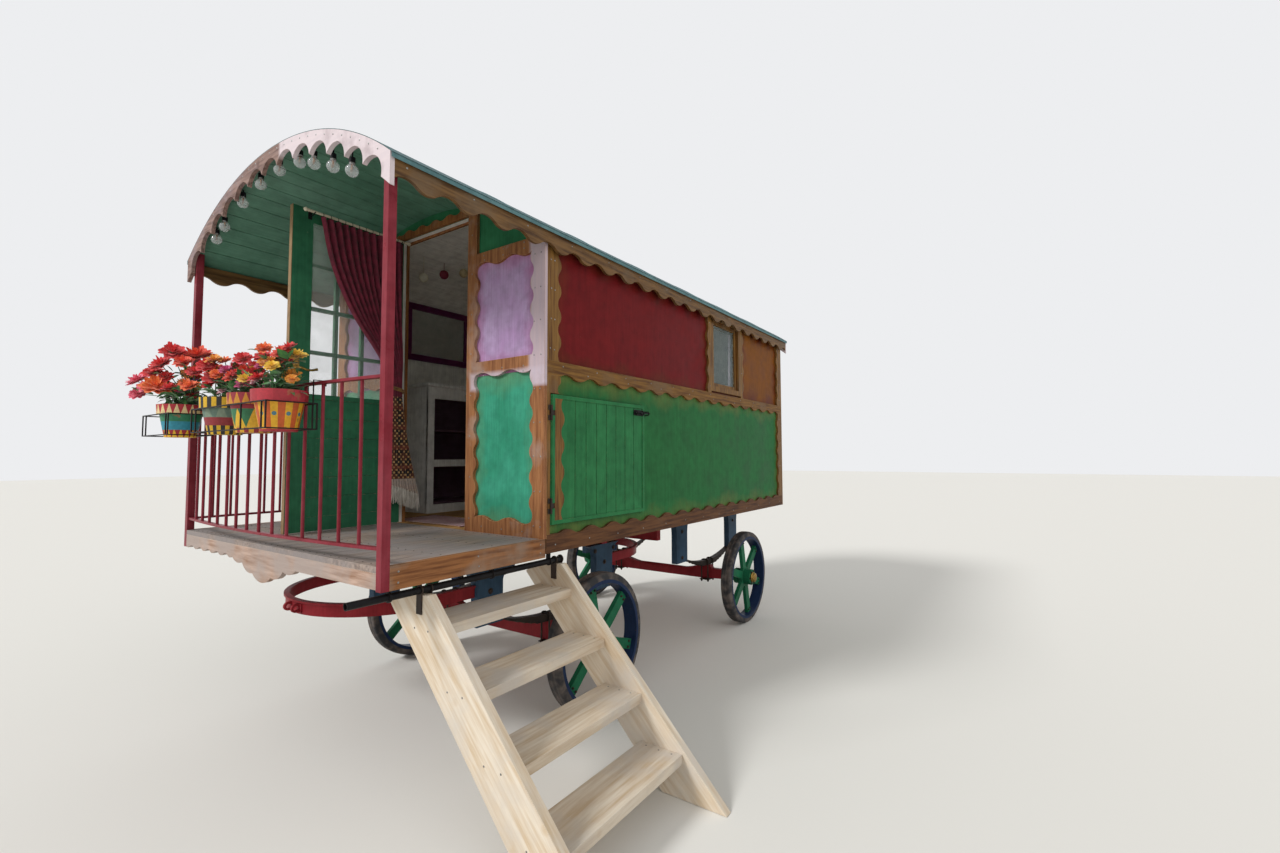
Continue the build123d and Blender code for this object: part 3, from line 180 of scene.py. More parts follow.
# the fields are painted panels, each with its own box and tones and mostly a rim of another tone along the
# trim, which on the mauve panels is painted shade;
# rings are a centre in X and Z, a radius and the colour outside it
def brushedPaint(name, main, faded, along, rough, undercoat=None, chips=0.66, metal=0.0, fields=(),
                 rings=None):
    material, tree, shader, plain = newMaterial(name)
    grain = alongGrain(tree, plain, along, paintLook["stretch"])
    clouds = addNode(tree, "TexNoise", {"Vector": plain, "Scale": 1000 / paintLook["cloudMm"], "Detail": 6.0,
                                        "Roughness": 0.62})
    grime = addNode(tree, "TexNoise", {"Vector": plain, "Scale": 1000 / paintLook["grimeMm"], "Detail": 4.0})
    strokes = addNode(tree, "TexNoise", {"Vector": grain, "Scale": 1000.0 / paintLook["strokeMm"] / 2,
                                         "Detail": 3.0})
    faint = addNode(tree, "MapRange", (clouds, 0.35, 0.72, 0.0, 0.9))
    colour = addNode(tree, "MixRGB", (faint, main, faded))
    for field in fields:
        inside = addNode(tree, "Math", (boxDepth(tree, plain, *field["box"]), 0.0), operation="GREATER_THAN")
        tone = addNode(tree, "MixRGB", (faint, *field["tones"]))
        if field["rim"]:
            depth = boxDepth(tree, plain, *field["rimBox"])
            ragged = addNode(tree, "Math", (clouds, 0.34, depth), operation="MULTIPLY_ADD")
            rim = addNode(tree, "MapRange", (ragged, 0.13, 0.26, field["rimShare"], 0.0))
            tone = addNode(tree, "MixRGB", (rim, tone, field["rim"]))
        colour = addNode(tree, "MixRGB", (inside, colour, tone))
    if rings:
        (centreX, centreZ), inner, band = rings
        shift = (-centreX, 0, -centreZ)
        flat = addNode(tree, "VectorMath", (plain, (1, 0, 1), shift), operation="MULTIPLY_ADD")
        span = addNode(tree, "VectorMath", (flat,), operation="LENGTH").outputs["Value"]
        outer = addNode(tree, "Math", (span, inner), operation="GREATER_THAN")
        colour = addNode(tree, "MixRGB", (outer, colour, band))
    # brush strokes, then grime, both a little darker and lighter than the paint
    for noise, low, high, dark, light in ((strokes, 0.3, 0.7, 0.88, 1.07), (grime, 0.3, 0.6, 0.86, 1.04)):
        shade = addNode(tree, "MapRange", (noise, low, high, dark, light))
        colour = addNode(tree, "MixRGB", (1.0, colour, shade), blend_type="MULTIPLY")
    softNormal, wear = softEdges(tree, paintLook["edgeMm"])
    if undercoat:
        flakes = addNode(tree, "TexNoise", {"Vector": plain, "Scale": 1000.0 / paintLook["chipMm"],
                                            "Detail": 6.0, "Roughness": 0.7})
        chipped = addNode(tree, "MapRange", (flakes, chips, chips + 0.04, 0.0, 0.8))
        patchy = addNode(tree, "MapRange", (flakes, 0.45, 0.6))
        rubbed = addNode(tree, "Math", (wear, patchy), operation="MULTIPLY")
        bare = addNode(tree, "Math", (chipped, rubbed), operation="MAXIMUM")
        colour = addNode(tree, "MixRGB", (bare, colour, undercoat))
    bump = addNode(tree, "Bump", {"Height": strokes, "Strength": 0.3, "Distance": paintLook["bumpMm"] / 1000,
                                  "Normal": softNormal})
    fillSockets(tree, shader, {
        "Base Color": colour, "Metallic": metal, "Specular IOR Level": paintLook["specular"], "Normal": bump,
        "Roughness": addNode(tree, "MapRange", (clouds, 0.3, 0.7, rough - 0.08, rough + 0.12)),
    })
    return material


# clear soda-lime glass: a faint green, nearly mirror smooth, a little dust
def clearGlass(name, tint, alpha, dusty="#B9BEB8", specular=0.5):
    material, tree, shader, plain = newMaterial(name)
    dustMm = 200
    dust = addNode(tree, "TexNoise", {"Vector": plain, "Scale": 1000 / dustMm, "Detail": 6.0})
    film = addNode(tree, "MapRange", (dust, 0.35, 0.75))
    fillSockets(tree, shader, {
        "Base Color": addNode(tree, "MixRGB", (film, tint, dusty)),
        "Alpha": addNode(tree, "MapRange", (dust, 0.35, 0.75, alpha, alpha + 0.14)),
        "Roughness": 0.05, "IOR": 1.45, "Specular IOR Level": specular,
    })
    return material


# vulcanised rubber, sun-bleached and dusted with dry earth
def earthyRubber(name):
    material, tree, shader, plain = newMaterial(name)
    # the patches of dust, and the grit, which is drawn coarser than real grit of 1 mm so that it shows
    dustMm, gritMm = 71.43, 6.25
    dust = addNode(tree, "TexNoise", {"Vector": plain, "Scale": 1000 / dustMm, "Detail": 6.0})
    grit = addNode(tree, "TexNoise", {"Vector": plain, "Scale": 1000 / gritMm, "Detail": 3.0})
    dusty = addNode(tree, "MapRange", (dust, 0.42, 0.66, 0.0, 0.8))
    heights = addNode(tree, "Math", (grit, 0.3, dust), operation="MULTIPLY_ADD")
    fillSockets(tree, shader, {
        "Base Color": addNode(tree, "MixRGB", (dusty, "#2A2A2C", "#6A5F58")), "Roughness": 0.85,
        "Normal": addNode(tree, "Bump", {"Height": heights, "Strength": 0.5, "Distance": 0.004}),
    })
    return material


# cycles a metre that give a wave texture bands of this width, its own scale being 20 over a full turn
def waveScale(widthMm):
    return 1000.0 / widthMm / 20 * 6.28


# bare metal: zinc, brass or oiled iron, with a cloudy dulled skin
def bareMetal(name, main, dull, rough, grainMm=8.0):
    material, tree, shader, plain = newMaterial(name)
    skin = addNode(tree, "TexNoise", {"Vector": plain, "Scale": 1000.0 / grainMm, "Detail": 4.0})
    fillSockets(tree, shader, {
        "Base Color": addNode(tree, "MixRGB", (addNode(tree, "MapRange", (skin, 0.4, 0.65)), main, dull)),
        "Metallic": 1.0, "Roughness": addNode(tree, "MapRange", (skin, 0.3, 0.7, rough, rough + 0.15)),
    })
    return material


print("material makers ready")

# levels and edges taken from the nodes that carry the paint
far = 9.0
waistLow, waistTop = (corner.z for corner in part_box("waist_rails"))
waistMiddle = (waistLow + waistTop) / 2
wallLow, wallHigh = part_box("left_wall")
wallRear, sideInner, wallFront, sideFace = wallLow.x, wallLow.y, wallHigh.x, wallHigh.y
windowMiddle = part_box("window_sashes")[1].x - 0.27
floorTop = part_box("cabin_floor")[1].z

# where the trim ends and the paint shows, in metres; a skin of the boards takes the paint
panelForm = {"cornerBoard": 0.105, "windowHalf": 0.378, "skin": 0.004, "sideFoot": 0.407, "endFoot": 0.44,
             "sideHead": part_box("eave_valances")[0].z + 0.06, "endHead": 2.08, "gableLow": 2.12,
             "beside": ((-1.05, -0.43), (0.545, 1.05)), "whole": ((-1.05, 1.05), (-1.05, 1.05))}
bodyColours = {
    # tone, faded tone, rim along the trim
    "crimson": ("#661216", "#701C1E", "#5E2A16"),
    "amber": ("#6E3C0C", "#845014", "#561A10"),
    "sideGreen": ("#225E32", "#2C7240", "#7A7C3C"),
    "frontGreen": ("#32886A", "#46A286", "#6F8E62"),
    "gableGreen": ("#2E6A48", "#3A7E56", None),
    # the mauve's plum rim along the trim is painted shade
    "mauve": ("#AF8DB8", "#BFABCC", "#A8628C"),
    "lining": ("#EDECE5", "#DEDDD7", None),
    "doorEdge": ("#8C7052", "#A48C6A", None),
}


# one panel: the box that it fills, its tones, and the box of its trim where the rim starts
def paintField(colour, low, high, rimLow=None, rimHigh=None, rimShare=0.0):
    main, faded, rim = bodyColours[colour]
    return {"box": (low, high), "tones": (main, faded), "rim": rim, "rimBox": (rimLow, rimHigh),
            "rimShare": rimShare}


# the painted panels of one side wall: green below, crimson in front of the window, amber behind it
def sideFields(side):
    y0, y1 = sorted((side * (sideInner + panelForm["skin"]), side * far))
    rear, front = wallRear + panelForm["cornerBoard"], wallFront - panelForm["cornerBoard"]
    half, below, above = panelForm["windowHalf"], (-far, waistMiddle), (waistMiddle, far)
    rimLow, rimHigh = (panelForm["sideFoot"], waistLow), (waistTop, panelForm["sideHead"])
    rows = (
        # colour, x and z of the field, x and z inside its trim, strength of the rim
        ("sideGreen", (-far, far), below, (rear, front), rimLow, 0.45),
        ("crimson", (windowMiddle, far), above, (windowMiddle + half, front), rimHigh, 0.7),
        ("amber", (-far, windowMiddle), above, (rear, windowMiddle - half), rimHigh, 0.8),
    )
    return [paintField(colour, (x[0], y0, z[0]), (x[1], y1, z[1]), (rimX[0], -far, rimZ[0]),
                       (rimX[1], far, rimZ[1]), strength) for colour, x, z, rimX, rimZ, strength in rows]


# the painted panels of an end wall: green below, mauve above, dark green in the gable
def endFields(faceX, side):
    x0, x1 = sorted((faceX, side * far))
    gableLow = panelForm["gableLow"]
    rows = (
        ("frontGreen", (-far, waistMiddle), (panelForm["endFoot"], waistLow), 0.45),
        # the mauve panel's plum rim along its trim is painted shade
        ("mauve", (waistMiddle, gableLow), (waistTop, panelForm["endHead"]), 0.75),
    )
    fields = []
    for (y0, y1), half in zip(panelForm["beside" if side > 0 else "whole"], ((-far, 0.0), (0.0, far))):
        for colour, z, rimZ, strength in rows:
            fields.append(paintField(colour, (x0, half[0], z[0]), (x1, half[1], z[1]), (-far, y0, rimZ[0]),
                                     (far, y1, rimZ[1]), strength))
    return fields + [paintField("gableGreen", (x0, -far, gableLow), (x1, far, far))]


# oil paint over boarding, brushed upright: streaks and a cloudy, sun-faded tone
skin = panelForm["skin"]
boardingTable = (
    ("left", 0.45, sideFields(1)),
    ("right", 0.45, sideFields(-1)),
    ("front", 0.42, endFields(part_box("front_wall")[1].x - skin, 1)),
    ("rear", 0.42, endFields(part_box("rear_wall")[0].x + skin, -1)),
)
lining = bodyColours["lining"][:2]
wallPaints = {}
for name, rough, fields in boardingTable:
    wallPaints[name] = brushedPaint("brushed oil paint on " + name + " boarding", *lining, "Z", rough,
                                    "#6A5A48", 0.7, fields=fields)
# sea green gloss over the porch, plain white distemper over the room
roomCeiling = paintField("lining", (-far, -1.1, -far), (wallFront - 0.02, 1.1, far))
ceilingPaint = brushedPaint("brushed gloss on tongued roof boards", "#527C68", "#66947E", "X", 0.35,
                            "#7E8A7C", 0.72, fields=(roomCeiling,))
# deep gloss on the door and hatch; the door's free edge is rubbed back to the wood
doorEdge = paintField("doorEdge", (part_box("door_leaf")[1].x - 0.003, -far, -far), (far, far, far))
doorGreen = brushedPaint("brushed bottle green gloss on softwood", "#2E6248", "#3A7856", "Z", 0.38, "#B7A58C",
                         0.68, fields=(doorEdge,))
hatchGreen = brushedPaint("brushed leaf green gloss on planks", "#28683E", "#36804E", "Z", 0.4, "#7E8A5C",
                          0.7)
# enamel on forged and rolled steel: rust shows through the chips
redSteel = brushedPaint("brushed red enamel on rolled steel", "#7E1F26", "#933439", "Z", 0.36, "#4E3028")
roseSteel = brushedPaint("brushed crimson enamel on steel tube", "#7A2630", "#92424C", "Z", 0.3, "#5B3A33",
                         0.7)
blueSteel = brushedPaint("brushed slate blue enamel on plate", "#31465A", "#425C74", "Z", 0.42, "#4E3E36")
# dark iron: oiled, japanned or lacquered, half metallic under its skin
darkSteel = brushedPaint("oily forged steel", "#34302E", "#4E423A", "X", 0.5, "#6B4A38", 0.62, 0.35)
blackIron = brushedPaint("black japanned iron", "#1E1E20", "#2C2A2A", "Z", 0.38, "#4A3A30", 0.7, 0.3)
troughIron = brushedPaint("black lacquered flat bar", "#232224", "#33302E", "Y", 0.45, "#5A4334", 0.66, 0.3)
# thin paint on zinc: dull slate green with grey patches, paler on the laps
slateSheet = brushedPaint("slate green painted zinc sheet", "#3E5E62", "#557376", "Y", 0.5, "#6E6A60", 0.72)
lapSheet = brushedPaint("thinly painted zinc lap", "#587A7E", "#6E9092", "Y", 0.45, "#8A8C88")
# green enamel spokes inside a dark blue felloe
axleXs = {"front": -1.5, "rear": -3.94}
felloe = {"inner": 0.384, "colour": "#20304E"}
wheelPaints = {}
for end, x in axleXs.items():
    wheelLow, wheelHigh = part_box("wheel_" + end + "_left")
    rings = ((x, (wheelLow.z + wheelHigh.z) / 2), felloe["inner"], felloe["colour"])
    wheelPaints[end] = brushedPaint("brushed green enamel on cast " + end + " wheel", "#1C5C40", "#287250",
                                    "Z", 0.36, "#5B4238", rings=rings)
# stained larch: warm brown with dark bands, greyed in patches, rubbed pale on the edges
bottomTrim = planedWood("dark stained larch board", "#684428", "#3E2416", "X", "#5E4634", 0.14, rough=0.6,
                        edge="#84603C")
brownTrim = planedWood("stained larch board", "#835E2C", "#52331A", "X", "#705840", 0.14, rough=0.6,
                       edge="#94703F", stain=("#451F0E", "Z", 0.62, 0.42))
valanceTrim = planedWood("stained larch valance", "#775834", "#4A321C", "X", "#6C5A46", 0.2, rough=0.5,
                         edge="#907048")
uprightTrim = planedWood("stained larch upright", "#84602F", "#54351A", "Z", "#745E46", 0.16, rough=0.5,
                         edge="#967244")
frontTrim = planedWood("sun bleached larch upright", "#A06E46", "#76482C", "Z", "#A08A7E", 0.1, rough=0.52,
                       edge="#C79A70", bleach="#CBC1CC",
                       bleachBoxes=(((-far, 1.03, 1.27), (far, far, far)),
                                    ((-far, 0.5, 1.27), (far, far, 1.372))))
doorTrim = planedWood("oiled larch door board", "#996539", "#683C20", "Z", "#8E7864", 0.1, rough=0.5,
                      edge="#B08A60")
# limed, oiled and silvered pine and larch: chalky pale where the sun reaches
paleArch = planedWood("limed pine arch board", "#957A70", "#634C45", "Y", "#9A898C", 0.3, edge="#BBA8A1",
                      bleach="#E8DEE2", bleachBoxes=(((-far, 0.12, -far), (far, far, far)),))
paleFascia = planedWood("limed pine fascia", "#BFA392", "#8F6E58", "Y", "#A3968F", 0.4, edge="#CBB7A4")
sideFascia = planedWood("oiled pine side board", "#98663E", "#683F24", "X", "#8E7A6A", 0.3, edge="#AE8860")
greyDeck = planedWood("silvered larch planks", "#A7968A", "#776860", "X", "#8B8482", 0.45, rough=0.7,
                      edge="#B9ADA0", knotShare=0.6)
# new and waxed pine: pale straw with broad grain
cabinPine = planedWood("waxed pine floor", "#B98E58", "#8A6236", "X", grainMm=12.0)
# the treads' tones are a little greyer and darker than the stringers': painted shade, the treads lying in
# shade and the stringers in light
newPine = planedWood("planed new pine tread", "#D6CAB8", "#BCA68A", "X", "#C0B8AE", 0.3, 16.0, edge="#E0D6C6")
stringerLean = -44.4  # the stringers slope by this many degrees
newPineSlope = planedWood("planed new pine stringer", "#DED2C0", "#C8B294", "Y", "#CBC2B6", 0.25, 12.0,
                          edge="#E8DECE", lean=stringerLean)
tyreRubber = earthyRubber("dusty vulcanised rubber")
pane = clearGlass("clear window glass", "#9AACAC", 0.16, "#78888A", 0.22)
doorPane = clearGlass("clear door glass", "#EEF6F2", 0.12)
bulbGlass = clearGlass("blown bulb glass", "#F4F6F8", 0.24, "#D6DADC")
# moulded resin: nearly black with a soft shine
blackPlastic = brushedPaint("moulded black bakelite", "#1B1B1D", "#26262A", "Z", 0.3)
screwZinc = bareMetal("zinc plated screw", "#9A9A98", "#6E6A64", 0.35)
oldBrass = bareMetal("rubbed brass", "#A98746", "#6E5630", 0.3)

# the carried nodes and what each of them wears
dressing = (
    (wallPaints["left"], "left_wall"),
    (wallPaints["right"], "right_wall"),
    (wallPaints["front"], "front_wall"),
    (wallPaints["rear"], "rear_wall"),
    (redSteel, "chassis_frame rear_axle middle_cross_beam fore_carriage_frame fore_hoops front_axle "
               "drawbar_lugs"),
    (roseSteel, "porch_posts front_railing side_railing"),
    (darkSteel, "turntable_upper_ring turntable_lower_ring fore_springs rear_springs hinge_pins door_straps "
                "hatch_straps step_eyes"),
    (blackIron, "step_pipe"),
    (blueSteel, "fore_hangers rear_hangers"),
    (slateSheet, "roof_sheet"),
    (ceilingPaint, "roof_boards"),
    (doorGreen, "door_leaf"),
    (hatchGreen, "hatch_leaf"),
    (wheelPaints["front"], "wheel_front_left wheel_front_right"),
    (wheelPaints["rear"], "wheel_rear_left wheel_rear_right"),
    (tyreRubber, "tyre_front_left tyre_front_right tyre_rear_left tyre_rear_right"),
    (brownTrim, "waist_rails"),
    (bottomTrim, "bottom_boards"),
    (valanceTrim, "eave_valances"),
    (uprightTrim, "side_corner_boards window_frames window_sashes hatch_trim"),
    (frontTrim, "front_corner_boards"),
    (doorTrim, "door_frame"),
    (paleArch, "front_bargeboard rear_bargeboard"),
    (paleFascia, "porch_front_fascia"),
    (sideFascia, "porch_side_fascias"),
    (greyDeck, "porch_deck"),
    (cabinPine, "cabin_floor"),
    (newPine, "step_treads"),
    (newPineSlope, "step_stringers"),
    (pane, "window_glass"),
    (doorPane, "door_glass"),
    (blackPlastic, "lamp_sockets"),
    (bulbGlass, "lamp_bulbs"),
    (troughIron, "pot_troughs"),
)


def dress(nodeNames, material):
    for name in nodeNames.split():
        mesh = nodes[name].data
        mesh.materials.clear()
        mesh.materials.append(material)


for material, nodeNames in dressing:
    dress(nodeNames, material)
print("carried nodes dressed")


# shapes are kept as lists of points and faces, placed into a store, and each store becomes one piece
def place(store, shape, matrix=None):
    start = len(store[0])
    matrix = matrix or Matrix()
    store[0].extend(tuple(matrix @ Vector(point)) for point in shape[0])
    store[1].extend(tuple(index + start for index in face) for face in shape[1])


def makePiece(name, store, material, body, sharpDegrees=35):
    mesh = bpy.data.meshes.new(name)
    mesh.from_pydata(store[0], [], store[1])
    work = bmesh.new()
    work.from_mesh(mesh)
    bmesh.ops.recalc_face_normals(work, faces=work.faces)
    work.to_mesh(mesh)
    work.free()
    for polygon in mesh.polygons:
        polygon.use_smooth = True
    mesh.set_sharp_from_angle(angle=math.radians(sharpDegrees))
    mesh.materials.append(material)
    piece = bpy.data.objects.new(name, mesh)
    bpy.context.scene.collection.objects.link(piece)
    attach(piece, body)
    return piece


# a block with chamfered edges, centred on its origin: three points stand at each corner, one on each face
def blockShape(size, chamfer):
    half = [s / 2 for s in size]
    corners = [(x, y, z) for x in (-1, 1) for y in (-1, 1) for z in (-1, 1)]
    points, number = [], {}
    for corner in corners:
        for axis in range(3):
            number[corner, axis] = len(points)
            points.append(tuple(corner[k] * (half[k] if k == axis else half[k] - chamfer) for k in range(3)))

    def cornerAt(axis, sign, a, b):
        corner = [a, b]
        corner.insert(axis, sign)
        return tuple(corner)

    around = ((-1, -1), (1, -1), (1, 1), (-1, 1))
    faces = []
    for axis in range(3):
        one, two = [k for k in range(3) if k != axis]
        for sign in (-1, 1):
            faces.append(tuple(number[cornerAt(axis, sign, a, b), axis] for a, b in around))
        for a, b in around:
            start, end = cornerAt(axis, -1, a, b), cornerAt(axis, 1, a, b)
            faces.append((number[start, one], number[start, two], number[end, two], number[end, one]))
    faces.extend(tuple(number[corner, axis] for axis in range(3)) for corner in corners)
    return points, faces


def placeBox(store, low, high, chamfer=0.002):
    size = [h - l for l, h in zip(low, high)]
    middle = Vector([(h + l) / 2 for l, h in zip(low, high)])
    place(store, blockShape(size, min(chamfer, min(size) * 0.4)), Matrix.Translation(middle))


# a turned shape: rows of radius and height about Z
def turnedShape(profile, segments=16):
    points, faces, rings = [], [], []
    for radius, height in profile:
        if radius < 1e-6:
            rings.append([len(points)])
            points.append((0.0, 0.0, height))
            continue
        rings.append([len(points) + k for k in range(segments)])
        for k in range(segments):
            angle = 2 * math.pi * k / segments
            points.append((radius * math.cos(angle), radius * math.sin(angle), height))
    for lower, upper in zip(rings, rings[1:]):
        for k in range(segments):
            following = (k + 1) % segments
            if len(lower) == 1 and len(upper) > 1:
                faces.append((lower[0], upper[following], upper[k]))
            elif len(upper) == 1 and len(lower) > 1:
                faces.append((lower[k], lower[following], upper[0]))
            elif len(lower) > 1:
                faces.append((lower[k], lower[following], upper[following], upper[k]))
    return points, faces


# a round bar that follows points, with flat ends unless it is closed
def barShape(path, radius, sides=8, closed=False):
    path = [Vector(p) for p in path]
    count = len(path)
    points, faces = [], []
    side = None
    for k, point in enumerate(path):
        before = path[(k - 1) % count] if closed or k else point
        after = path[(k + 1) % count] if closed or k < count - 1 else point
        ahead = (after - before).normalized()
        if side is None:
            side = ahead.cross(Vector((0, 0, 1)) if abs(ahead.z) < 0.9 else Vector((1, 0, 0))).normalized()
        side = (side - ahead * side.dot(ahead)).normalized()
        other = ahead.cross(side)
        thick = radius[k] if isinstance(radius, (list, tuple)) else radius
        for s in range(sides):
            angle = 2 * math.pi * s / sides
            points.append(tuple(point + side * thick * math.cos(angle) + other * thick * math.sin(angle)))
    for k in range(count if closed else count - 1):
        for s in range(sides):
            a, b = k * sides, ((k + 1) % count) * sides
            faces.append((a + s, a + (s + 1) % sides, b + (s + 1) % sides, b + s))
    if not closed:
        faces.append(tuple(range(sides)))
        faces.append(tuple((count - 1) * sides + s for s in range(sides)))
    return points, faces


# a matrix that turns +Z towards a direction and moves to a place
def towards(spot, direction, turn=0.0):
    direction = Vector(direction).normalized()
    return (Matrix.Translation(Vector(spot)) @ direction.to_track_quat("Z", "Y").to_matrix().to_4x4()
            @ Matrix.Rotation(turn, 4, "Z"))


print("shape makers ready")

# solid rubber tyres with rounded shoulders, a crowned tread and two worn grooves
tyreForm = {"thick": 0.048, "shoulder": 0.016, "crown": 0.0015, "groove": 0.0035, "segments": 112}


def addTyre(end):
    low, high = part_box("tyre_" + end)
    centre = (low + high) / 2
    outer, half = (high.z - low.z) / 2, (high.y - low.y) / 2
    rim, tread = outer - tyreForm["thick"], half - 0.012
    deep, bend, crown = tyreForm["groove"], tyreForm["shoulder"], tyreForm["crown"]
    flank = [(rim, -half), (rim + 0.01, -half + 0.0015)]
    for degrees in (5, 25, 45, 65, 85):
        a = math.radians(degrees)
        flank.append((outer - crown - bend + bend * math.sin(a), -tread + bend * 0.6 - bend * math.cos(a)))
    flank += [(outer - crown * 0.6, -tread + 0.022), (outer - deep, -tread + 0.026),
              (outer - deep, -tread + 0.031), (outer, -tread + 0.035)]
    profile = flank + [(r, -y) for r, y in reversed(flank)] + [(rim, -half)]
    store = ([], [])
    turn = Matrix.Translation(centre) @ Matrix.Rotation(math.radians(90), 4, "X")
    place(store, turnedShape(profile, tyreForm["segments"]), turn)
    tyre = makePiece("rubber_tyre_" + end, store, tyreRubber, "wheel_" + end, 50)
    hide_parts("tyre_" + end)


# a domed hub cap, its ring of nuts, and two bolts at the end of each spoke
hubForm = {"capR": 0.052, "nutR": 0.0085, "nutRing": 0.066, "boltRing": 0.352, "boltSpread": 0.02,
           "spokes": 6, "firstSpoke": 18}


def addHub(end, side):
    low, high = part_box("wheel_" + end)
    centre = (low + high) / 2
    face = high.y if side > 0 else low.y
    spokeFace = (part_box("tyre_" + end)[0].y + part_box("tyre_" + end)[1].y) / 2 + side * 0.017
    cap, nuts = ([], []), ([], [])
    capR, nutR, spread = hubForm["capR"], hubForm["nutR"], hubForm["boltSpread"]
    dome = turnedShape([(0, -0.001), (capR, -0.001), (capR, 0.01), (capR * 0.92, 0.014), (capR * 0.86, 0.03),
                        (capR * 0.7, 0.036), (capR * 0.35, 0.039), (0, 0.04)], 28)
    place(cap, dome, towards((centre.x, face, centre.z), (0, side, 0)))
    nut = turnedShape([(0, 0), (nutR, 0), (nutR, 0.007), (nutR * 0.8, 0.009), (0.004, 0.009), (0.004, 0.013),
                       (0, 0.013)], 6)
    rings = (
        # first angle, radius, level, shifts along the ring
        (0, hubForm["nutRing"], face, (0,)),
        (hubForm["firstSpoke"], hubForm["boltRing"], spokeFace, (-spread, spread)),
    )
    for k in range(hubForm["spokes"]):
        for first, ring, level, offs in rings:
            angle = math.radians(first + k * 360 / hubForm["spokes"])
            for off in offs:
                x = centre.x + ring * math.cos(angle) - off * math.sin(angle)
                z = centre.z + ring * math.sin(angle) + off * math.cos(angle)
                place(nuts, nut, towards((x, level, z), (0, side, 0), k))
    makePiece("hub_cap_" + end, cap, oldBrass, "wheel_" + end)
    makePiece("wheel_nuts_" + end, nuts, darkSteel, "wheel_" + end)


for end in ("front_left", "front_right", "rear_left", "rear_right"):
    addTyre(end)
    addHub(end, 1 if end.endswith("left") else -1)
print("tyres and hubs")


# coach bolts with washers at the springs' hangers, and U clips over the springs
boltForm = {"headR": 0.013, "headH": 0.009, "washerR": 0.019}
clipForm = {"half": 0.038, "rise": 0.02, "bar": 0.007, "apart": 0.058, "springHeight": 0.056}


def boltShape():
    r, h, washerR = boltForm["headR"], boltForm["headH"], boltForm["washerR"]
    store = ([], [])
    place(store, turnedShape([(0, 0), (washerR, 0), (washerR, 0.0025), (0, 0.0025)], 16))
    place(store, turnedShape([(0, 0.002), (r, 0.002), (r, h), (r * 0.85, h + 0.002), (0, h + 0.002)], 6))
    return store


bolt = boltShape()
hangerTable = (
    # body, nodes' name, axle and its x, reach of the top bolts
    ("fore_carriage", "fore", "front_axle", axleXs["front"], 0.12),
    ("wagon", "rear", "rear_axle", axleXs["rear"], 0.09),
)
for body, name, axle, axleX, reach in hangerTable:
    store, clips = ([], []), ([], [])
    outY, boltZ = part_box(name + "_hangers")[1].y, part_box(name + "_hangers")[1].z - 0.045
    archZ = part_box(name + "_springs")[0].z + clipForm["springHeight"] - 0.012
    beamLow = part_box(axle)[0].z
    half = clipForm["half"]
    spots = ((-reach, boltZ), (reach, boltZ), (0, boltZ - 0.1), (0, -0.17))
    for side in (-1, 1):
        for middle in (axleX - 0.59, axleX + 0.59):
            for dx, z in spots:
                place(store, bolt, towards((middle + dx, side * outY, z), (0, side, 0), middle + dx))
        y = side * (outY - 0.03)
        for x in (axleX - clipForm["apart"], axleX + clipForm["apart"]):
            arch = [(x, y - half, beamLow - 0.03), (x, y - half, archZ)]
            for degrees in (30, 60, 90, 120, 150):
                a = math.radians(degrees)
                arch.append((x, y - half * math.cos(a), archZ + clipForm["rise"] * math.sin(a)))
            arch += [(x, y + half, archZ), (x, y + half, beamLow - 0.03)]
            place(clips, barShape(arch, clipForm["bar"], 8))
            for nutY in (y - half, y + half):
                place(clips, turnedShape([(0, 0), (0.012, 0), (0.012, -0.012), (0, -0.012)], 6),
                      Matrix.Translation((x, nutY, beamLow - 0.009)))
        placeBox(clips, (axleX - 0.075, y - 0.055, beamLow - 0.009),
                 (axleX + 0.075, y + 0.055, beamLow - 0.0005))
    makePiece(name + "_hanger_bolts", store, darkSteel, body)
    makePiece(name + "_spring_clips", clips, darkSteel, body)
print("undercarriage bolts and clips")


# countersunk screws and flat nails: rows along the boards, all from one small shape
screwForm = {"screwR": 0.0048, "nailR": 0.0036}
random.seed(11)


def headShape(radius):
    return turnedShape([(0, -0.001), (radius, -0.001), (radius, 0.0006), (radius * 0.75, 0.0014),
                        (radius * 0.25, 0.0017), (0, 0.0012)], 10)


screw, nail = headShape(screwForm["screwR"]), headShape(screwForm["nailR"])


def screwRow(store, start, end, count, facing, shape=screw, stray=0.004):
    start, end = Vector(start), Vector(end)
    for k in range(count):
        spot = start.lerp(end, k / max(count - 1, 1))
        slip = Vector([random.uniform(-stray, stray) if abs(facing[i]) < 0.5 else 0.0 for i in range(3)])
        place(store, shape, towards(spot + slip, facing, random.uniform(0, 3)))


